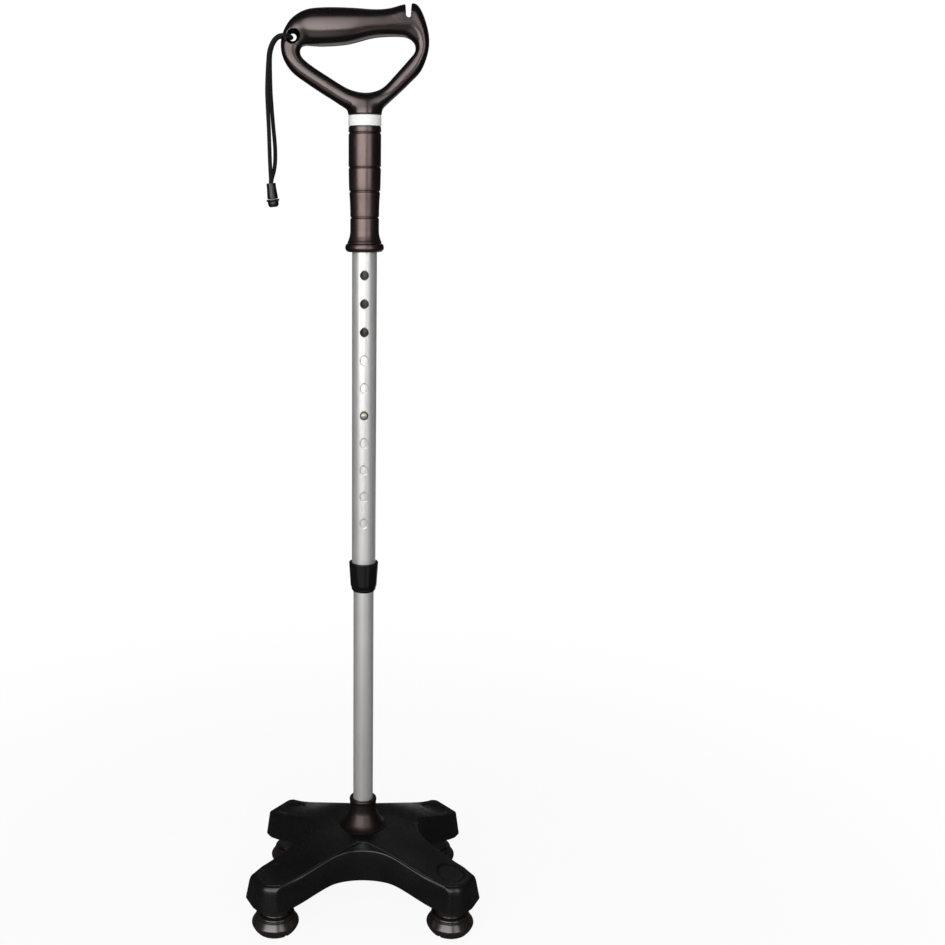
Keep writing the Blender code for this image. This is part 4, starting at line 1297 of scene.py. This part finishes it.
def base_corners(arch=FRONT_ARCH_CORNER):
    """The base's corners in plan, anticlockwise seen from above."""
    return (
        quarter_corners(RIGHT, FRONT, arch)
        + quarter_corners(RIGHT, REAR, arch)[::-1]
        + quarter_corners(LEFT, REAR, arch)
        + quarter_corners(LEFT, FRONT, arch)[::-1]
    )


def moved_corners(inset, lean, leg_rim, tip_rim, arch):
    """The outline's corners moved inwards, with their radii, negative where the corner is hollow.

    A side between two corners of a front tip moves in by the tip's rim, any other side by the leg's.
    """
    corners = base_corners(arch)
    found = []
    for i, (x, y, radius, share, at_tip) in enumerate(corners):
        last, following = corners[i - 1], corners[(i + 1) % len(corners)]
        here = Vector((x, y))
        before = (here - Vector(last[:2])).normalized()
        after = (Vector(following[:2]) - here).normalized()
        by = inset + lean * share
        by_before = by + (tip_rim if at_tip and last[4] else leg_rim)
        by_after = by + (tip_rim if at_tip and following[4] else leg_rim)
        turn = before.cross(after)
        middle = (by_before + by_after) / 2
        size = max(radius - middle, LEAST_CORNER) if turn > 0 else -(radius + middle)
        found.append((here + (after * by_before - before * by_after) / turn, size))
    return found


def corner_arc(before, corner, after, steps):
    """The rounded corner between its neighbours, as points."""
    here, radius = corner
    inwards = (here - before).normalized()
    outwards = (after - here).normalized()
    turn = inwards.angle(outwards)
    reach = abs(radius) * math.tan(turn / 2)
    centre = here + (outwards - inwards).normalized() * abs(radius) / math.cos(turn / 2)
    start = here - inwards * reach - centre
    side = math.copysign(1, radius)
    return [centre + Matrix.Rotation(side * turn * k / steps, 2) @ start for k in range(steps + 1)]


def base_outline(inset, lean, leg_rim=0.0, tip_rim=0.0, arch=FRONT_ARCH_CORNER):
    """The base's outline in plan. Its number of points is the same whatever its sizes are."""
    plain = [Vector(corner[:2]) for corner in base_corners()]
    corners = moved_corners(inset, lean, leg_rim, tip_rim, arch)
    count = len(corners)
    arcs, pieces = [], []
    for i in range(count):
        after = (i + 1) % count
        turn = math.degrees((plain[i] - plain[i - 1]).angle(plain[after] - plain[i]))
        steps = max(2, round(turn / ARC_STEP_DEGREES))
        arcs.append(corner_arc(corners[i - 1][0], corners[i], corners[after][0], steps))
        pieces.append(max(1, round((plain[after] - plain[i]).length / SIDE_PIECE)))
    points = []
    for i, arc in enumerate(arcs):
        start = arcs[(i + 1) % count][0]
        points += arc + [arc[-1].lerp(start, k / pieces[i]) for k in range(1, pieces[i])]
    return points


def dish(x, y):
    """How far the top sinks in the shallow dish on each leg's tip."""
    sizes = settings().sizes
    rim = 0.0007
    deepest = 0.0
    for foot in foot_places().values():
        distance = math.hypot(x - foot[0], y - foot[1])
        inside = soft_step((sizes.dish_radius + rim - distance) / (2 * rim))
        deepest = max(deepest, sizes.dish_depth * inside)
    return deepest


def skin_rows():
    """The base's skin as rows of points: down inside, round the lower edge, up the walls to the top."""
    high = TOP_HEIGHT - SKIRT_HEIGHT
    lip = 0.0005
    rows = [
        [(*point, base_height(*point, share)) for point in base_outline(inset, lean)]
        for inset, lean, share in (
            (SHELL_THICKNESS, WALL_LEAN, 1 - SHELL_THICKNESS / high),
            (SHELL_THICKNESS, 0.0, 0.0),
            (lip, 0.0, 0.0),
            (0.0, 0.0, lip / high),
        )
    ]
    for inwards, down in EDGE_BEND:
        outline = base_outline(0.0, WALL_LEAN, LEG_EDGE * inwards, TIP_EDGE * inwards)
        rows.append([(*p, base_height(*p, 1.0) - STEP - edge_size(*p) * down) for p in outline])
    for a in (math.radians(15 * k) for k in range(7)):
        rim = LEDGE + STEP * (1 - math.cos(a))
        outline = base_outline(0.0, WALL_LEAN, LEG_EDGE + rim, TIP_EDGE + rim, CREST_CORNER)
        rows.append([(*point, base_height(*point, 1.0) - STEP * (1 - math.sin(a))) for point in outline])
    return rows


def base_skin():
    """The base's hollow moulding, open below. Its ceiling and top are flat until they are cut into cells."""
    ceiling, top = 1.0, 2.0

    def build(work):
        rows = [[work.verts.new(point) for point in row] for row in skin_rows()]
        ends = ((rows[0], ceiling, 2 * GRID_PITCH), (rows[-1], top, GRID_PITCH))
        for row, after in zip(rows, rows[1:]):
            bridge(work, row, after)
        for row, level, pitch in ends:
            for vertex in row:
                vertex.co.z = level
            work.faces.new(row)
            cut_into_cells(work, level, pitch)
        for foot in foot_places().values():
            cut_into_cells(work, top, DISH_PITCH, foot, settings().sizes.dish_radius + 0.004)
        thick = SHELL_THICKNESS / (TOP_HEIGHT - SKIRT_HEIGHT)
        for vertex in work.verts:
            x, y, z = vertex.co
            if abs(z - top) < MERGE:
                vertex.co.z = base_height(x, y, 1.0) - dish(x, y)
            elif abs(z - ceiling) < MERGE:
                vertex.co.z = base_height(x, y, 1 - thick)
    return closed_mesh("base", build)


def cut_into_cells(work, level, pitch, centre=None, reach=None):
    """Splits what is level at this height along a square grid, everywhere or near a centre."""
    middle = Vector((*centre, 0.0)) if centre else Vector((0.0, 0.0, 0.0))
    lines = math.ceil((reach or FRONT_FOOT_X + 0.03) / pitch)

    def chosen(face):
        if not all(abs(v.co.z - level) < MERGE for v in face.verts):
            return False
        return centre is None or (face.calc_center_median().xy - middle.xy).length < reach + pitch

    for axis in (Vector((1, 0, 0)), Vector((0, 1, 0))):
        for k in range(-lines, lines + 1):
            faces = [f for f in work.faces if chosen(f)]
            around = {e for f in faces for e in f.edges} | {v for f in faces for v in f.verts}
            bmesh.ops.bisect_plane(
                work, geom=faces + list(around), dist=MERGE,
                plane_co=middle + axis * (k + 0.5) * pitch, plane_no=axis,
            )


def rib_mesh(end_x, end_y):
    """A rib under the skin, from the hub's boss to a tip's, which sinks as the skin does."""
    run = math.hypot(end_x, end_y)
    steps = 16
    begin, shorter = 0.0100, 0.0150
    low_share, high_share = 0.30, 0.945
    section = ((-1, low_share), (1, low_share), (1, high_share), (-1, high_share))

    def build(work):
        direction = Vector((end_x, end_y, 0.0)) / run
        side = Vector((-direction.y, direction.x, 0.0)) * RIB_THICKNESS / 2
        rows = []
        for k in range(steps + 1):
            at = direction * (begin + (run - shorter) * k / steps)
            rows.append([
                work.verts.new((*(at + side * s).xy, base_height(at.x, at.y, share)))
                for s, share in section
            ])
        for low, high in zip(rows, rows[1:]):
            bridge(work, low, high)
        work.faces.new(rows[0])
        work.faces.new(rows[-1][::-1])
    return closed_mesh("rib", build)


def make_base():
    base = combined(base_skin(), rod("hub_boss", HUB_BOSS_RADIUS, HUB_BOSS_LOW, HUB_BOSS_HIGH), "UNION")
    for x, y in foot_places().values():
        at = Matrix.Translation((x, y, 0.0))
        boss = moved(rod("boss", TIP_BOSS_RADIUS, TIP_BOSS_LOW, TIP_BOSS_HIGH), at)
        bore = moved(rod("bore", STUD_HOLE, STUD_CUT_LOW, STUD_HIGH + GAP), at)
        base = combined(base, rib_mesh(x, y), "UNION")
        base = combined(base, boss, "UNION")
        base = combined(base, bore, "DIFFERENCE")
    socket = rod("socket", settings().sizes.inner_radius + GAP, HUB_FLOOR, SOCKET_CUT_HIGH, TURN_STEPS)
    base = combined(base, socket, "DIFFERENCE")
    base = combined(base, rod("bolt_way", BOLT_HOLE, BOLT_CUT_LOW, BOLT_CUT_HIGH), "DIFFERENCE")
    show("base", smooth(base), "base_shell", gloss_black("base_black", 0.23))


def hub_profile():
    """The hub's half section: its rim, its neck, and the bell that spreads to the base's top."""
    bore = settings().sizes.inner_radius + GAP
    foot = TOP_HEIGHT + GAP
    return rounded([
        (bore, HUB_TOP, 0.0003),
        (0.0124, HUB_TOP, 0.0008),
        (0.0131, 0.1030, 0.0006),
        (0.0131, 0.1012, 0.0006),
        (0.0127, 0.1004, 0.0005),
        (0.0127, 0.0915, 0.0040),
        (0.0143, 0.0878, 0.0060),
        (0.0178, 0.0808, 0.0080),
        (0.0208, 0.0778, 0.0080),
        (0.0228, foot + 0.0004, 0.0),
        (0.0228, foot, 0.0),
        (bore, foot, 0.0002),
    ])


def make_hub():
    lacquer = bronze_lacquer("hub_lacquer", roughness=0.44, coat=0.15, brightness=0.40)
    show("hub", turned("hub", hub_profile()), "hub_socket", lacquer)


def foot_profile():
    """A rubber foot's half section: its stud's bore, then its side from the neck down to the floor."""
    return rounded([
        (0.0, STUD_LOW - GAP, 0),
        (STUD_HOLE, STUD_LOW - GAP, 0),
        (STUD_HOLE, FOOT_TOP, 0.0003),
        (0.0135, FOOT_TOP, 0.0006),
        (0.0135, 0.0190, 0.0010),
        (0.0165, 0.0187, 0.0008),
        (0.0181, 0.0176, 0.0012),
        (0.0179, 0.0160, 0.0010),
        (0.0173, 0.0155, 0.0003),
        (0.0184, 0.0149, 0.0006),
        (0.0222, 0.0092, 0.0012),
        (0.0221, 0.0070, 0.0012),
        (0.0200, 0.0030, 0.0015),
        (0.0175, 0.0, 0.0005),
        (0.0, 0.0, 0),
    ], closed=False)


def make_feet():
    sizes = settings().sizes
    rubber = black_rubber()
    zinc = zinc_plate()
    tree = tread_tree()
    for leg, (x, y) in foot_places().items():
        inputs = {
            "Width": sizes.tread_width,
            "Depth": sizes.tread_depth,
            "Reach": TREAD_REACH,
            "Turn": math.atan2(y, x),
            "Material": rubber,
        }
        foot = grown(turned("foot", foot_profile(), closed=False), tree, inputs)
        foot = smooth(moved(foot, Matrix.Translation((x, y, 0.0))))
        show(f"rubber_foot_{leg}", foot, f"foot_{leg}")
        refinish(f"foot_stud_{leg}", zinc)
        refinish(f"foot_washer_{leg}", zinc)
    refinish("hub_bolt", zinc)
    refinish("hub_washer", zinc)


def make_camera():
    """The view that the cane is shown in: from the front, a little above its middle, tilted down."""
    lens = bpy.data.cameras.new("camera")
    lens.sensor_width = CAMERA_SENSOR
    lens.lens = CAMERA_LENS
    lens.shift_x = CAMERA_SHIFT
    camera = placed("camera", lens)
    camera.matrix_world = (
        Matrix.Translation(CAMERA_PLACE)
        @ Matrix.Rotation(math.radians(90) - CAMERA_DOWN, 4, "X")
        @ Matrix.Rotation(CAMERA_ROLL, 4, "Z")
    )
    bpy.context.scene.camera = camera


def seen_or_mirrored(graph):
    """1 for rays from the camera and for those mirrored or let through to it."""
    path = graph.add("ShaderNodeLightPath").outputs
    either = graph.maths("MAXIMUM", path["Is Camera Ray"], path["Is Glossy Ray"])
    return graph.maths("MAXIMUM", either, path["Is Transmission Ray"])


def make_world():
    """White to the camera and in reflections, and a weaker soft light on the object."""
    world = bpy.data.worlds.new("studio")
    bpy.context.scene.world = world
    world.use_nodes = True
    graph = Graph(world.node_tree)
    inputs = graph.tree.nodes["Background"].inputs
    graph.feed(inputs["Color"], WHITE)
    shown = graph.between(seen_or_mirrored(graph), settings().stage.fill, 1.0, 0.0, 1.0)
    graph.feed(inputs["Strength"], shown)


def make_floor():
    """A pale floor that shows white to the camera but keeps a soft shadow."""
    finish = Finish("floor")
    finish.shade(Base_Color=rgba(settings().stage.floor), Roughness=0.8)
    distance = finish.add("ShaderNodeVectorMath", {0: finish.place}, operation="LENGTH").outputs["Value"]
    white = finish.between(distance, 0.92, 1.0, 0.20, 0.90, interpolation_type="SMOOTHSTEP")
    share = finish.maths("MULTIPLY", seen_or_mirrored(finish), white)
    both = {0: share, 1: finish.shader.outputs[0], 2: finish.glow(1.0)}
    finish.surface(finish.add("ShaderNodeMixShader", both).outputs[0])

    def build(work):
        bmesh.ops.create_circle(work, cap_ends=True, radius=FLOOR_RADIUS, segments=64)
    mesh = closed_mesh("floor", build)
    mesh.materials.append(finish.material)
    placed("floor", mesh)


def make_lamp(side, power):
    """A soft lamp that faces the cane. It is brightest along its lower edge."""
    left, right, low, high, turn = LAMPS[side]
    ends = [LAMP_DISTANCE * math.tan(math.radians(bearing)) for bearing in (left, right)]
    name = side + "_lamp"
    lamp = bpy.data.lights.new(name, "AREA")
    lamp.shape = "RECTANGLE"
    lamp.size, lamp.size_y = ends[1] - ends[0], high - low
    lamp.energy = power
    lamp.use_nodes = True
    graph = Graph(lamp.node_tree)
    across = graph.add("ShaderNodeNewGeometry").outputs["Parametric"]
    up = graph.add("ShaderNodeSeparateXYZ", {0: across}).outputs[1]
    graph.feed(graph.tree.nodes["Emission"].inputs["Strength"], graph.between(up, *LAMP_FADING, 0.0, 1.0))
    made = placed(name, lamp)
    made.visible_camera = False
    made.matrix_world = (
        Matrix.Rotation(math.radians(turn), 4, "Z")
        @ Matrix.Translation((sum(ends) / 2, -LAMP_DISTANCE, (low + high) / 2))
        @ Matrix.Rotation(math.radians(90), 4, "X")
    )


def make_card(side):
    """A card on the floor between the cane and a lamp. It glows with its own light though it is no lamp, a
    painted reflection of a lit floor. Only mirrored rays meet it.
    """
    left, right, *_, turn = LAMPS[side]
    name = side + "_card"
    finish = Finish(name)
    # The card's glow is a painted reflection of a lit floor
    finish.surface(finish.glow(settings().stage.cards))
    near, far = CARD_NEAR, LAMP_DISTANCE
    corners = ((left, near), (left, far), (right, far), (right, near))

    def build(work):
        work.faces.new([
            work.verts.new((away * math.tan(math.radians(bearing)), -away, CARD_HEIGHT))
            for bearing, away in corners
        ])
    mesh = moved(closed_mesh(name, build), Matrix.Rotation(math.radians(turn), 4, "Z"))
    mesh.materials.append(finish.material)
    only_in_gloss(placed(name, mesh))


def only_in_gloss(thing):
    for ray in ("camera", "diffuse", "transmission", "volume_scatter", "shadow"):
        setattr(thing, "visible_" + ray, False)


def make_surround():
    """Dark studio walls that only mirrored rays meet, so that gloss shows the lamps' shapes."""
    finish = Finish("studio_walls")
    finish.shade(Base_Color=rgba(settings().stage.walls), Roughness=1.0)
    middle = Matrix.Translation((0.0, WALLS_Y, WALLS_LOW + WALLS_SIZE.z / 2))
    walls = box("studio_walls", WALLS_SIZE, middle)
    walls.materials.append(finish.material)
    only_in_gloss(placed("studio_walls", walls))


def make_stage():
    stage = settings().stage
    make_camera()
    make_world()
    make_floor()
    make_surround()
    powers = {"left": stage.left_power, "right": stage.right_power, "back": stage.back_power}
    for side, power in powers.items():
        make_lamp(side, power)
        make_card(side)


class CANE_OT_stage(bpy.types.Operator):
    """Sets up the camera, the white surroundings, the floor, the studio walls and the lamps"""

    bl_idname = "cane.stage"
    bl_label = "Stage"

    def execute(self, context):
        make_stage()
        return {"FINISHED"}


class CANE_OT_strap(bpy.types.Operator):
    """Makes the wrist strap: its woven cord, its bell and its plug"""

    bl_idname = "cane.strap"
    bl_label = "Wrist strap"

    def execute(self, context):
        make_strap()
        return {"FINISHED"}


class CANE_OT_handle(bpy.types.Operator):
    """Makes the handle loop with its neck, notch and eyelet, and finishes its cross pin"""

    bl_idname = "cane.handle"
    bl_label = "Handle"

    def execute(self, context):
        make_handle()
        return {"FINISHED"}


class CANE_OT_grip(bpy.types.Operator):
    """Makes the grooved grip sleeve and the white band above it"""

    bl_idname = "cane.grip"
    bl_label = "Grip sleeve"

    def execute(self, context):
        make_grip()
        make_band()
        return {"FINISHED"}


class CANE_OT_tubes(bpy.types.Operator):
    """Makes both tubes with their holes, and finishes what fits inside them"""

    bl_idname = "cane.tubes"
    bl_label = "Tubes"

    def execute(self, context):
        make_tubes()
        return {"FINISHED"}


class CANE_OT_button(bpy.types.Operator):
    """Makes the snap button and the leaf spring behind it"""

    bl_idname = "cane.button"
    bl_label = "Snap button"

    def execute(self, context):
        make_button()
        make_spring()
        return {"FINISHED"}


class CANE_OT_collar(bpy.types.Operator):
    """Makes the fluted locking ring"""

    bl_idname = "cane.collar"
    bl_label = "Locking ring"

    def execute(self, context):
        make_collar()
        return {"FINISHED"}


class CANE_OT_base(bpy.types.Operator):
    """Makes the hollow four-legged base and the hub on it"""

    bl_idname = "cane.base"
    bl_label = "Base"

    def execute(self, context):
        make_base()
        make_hub()
        return {"FINISHED"}


class CANE_OT_feet(bpy.types.Operator):
    """Makes the four rubber feet and finishes their fasteners"""

    bl_idname = "cane.feet"
    bl_label = "Feet"

    def execute(self, context):
        make_feet()
        return {"FINISHED"}


OPERATORS = (
    CANE_OT_stage,
    CANE_OT_strap,
    CANE_OT_handle,
    CANE_OT_grip,
    CANE_OT_tubes,
    CANE_OT_button,
    CANE_OT_collar,
    CANE_OT_base,
    CANE_OT_feet,
)


class CANE_PT_panel(bpy.types.Panel):
    """Lists the cane's operators and settings in the sidebar"""

    bl_idname = "CANE_PT_panel"
    bl_label = "Quad Cane"
    bl_space_type = "VIEW_3D"
    bl_region_type = "UI"
    bl_category = "Quad Cane"

    def draw(self, context):
        for operator in OPERATORS:
            self.layout.operator(operator.bl_idname)
        cane = context.scene.cane
        for group in (cane.sizes, cane.colours, cane.stage):
            column = self.layout.column()
            for name in group.__annotations__:
                column.prop(group, name)


CLASSES = (CaneSizes, CaneColours, CaneStage, CaneSettings, *OPERATORS, CANE_PT_panel)


def register():
    for cls in CLASSES:
        bpy.utils.register_class(cls)
    bpy.types.Scene.cane = PointerProperty(type=CaneSettings)


def unregister():
    del bpy.types.Scene.cane
    for cls in reversed(CLASSES):
        bpy.utils.unregister_class(cls)


def main():
    register()
    bpy.context.scene.view_settings.view_transform = "Standard"
    for operator in OPERATORS:
        group, name = operator.bl_idname.split(".")
        getattr(getattr(bpy.ops, group), name)()


if __name__ == "__main__":
    main()
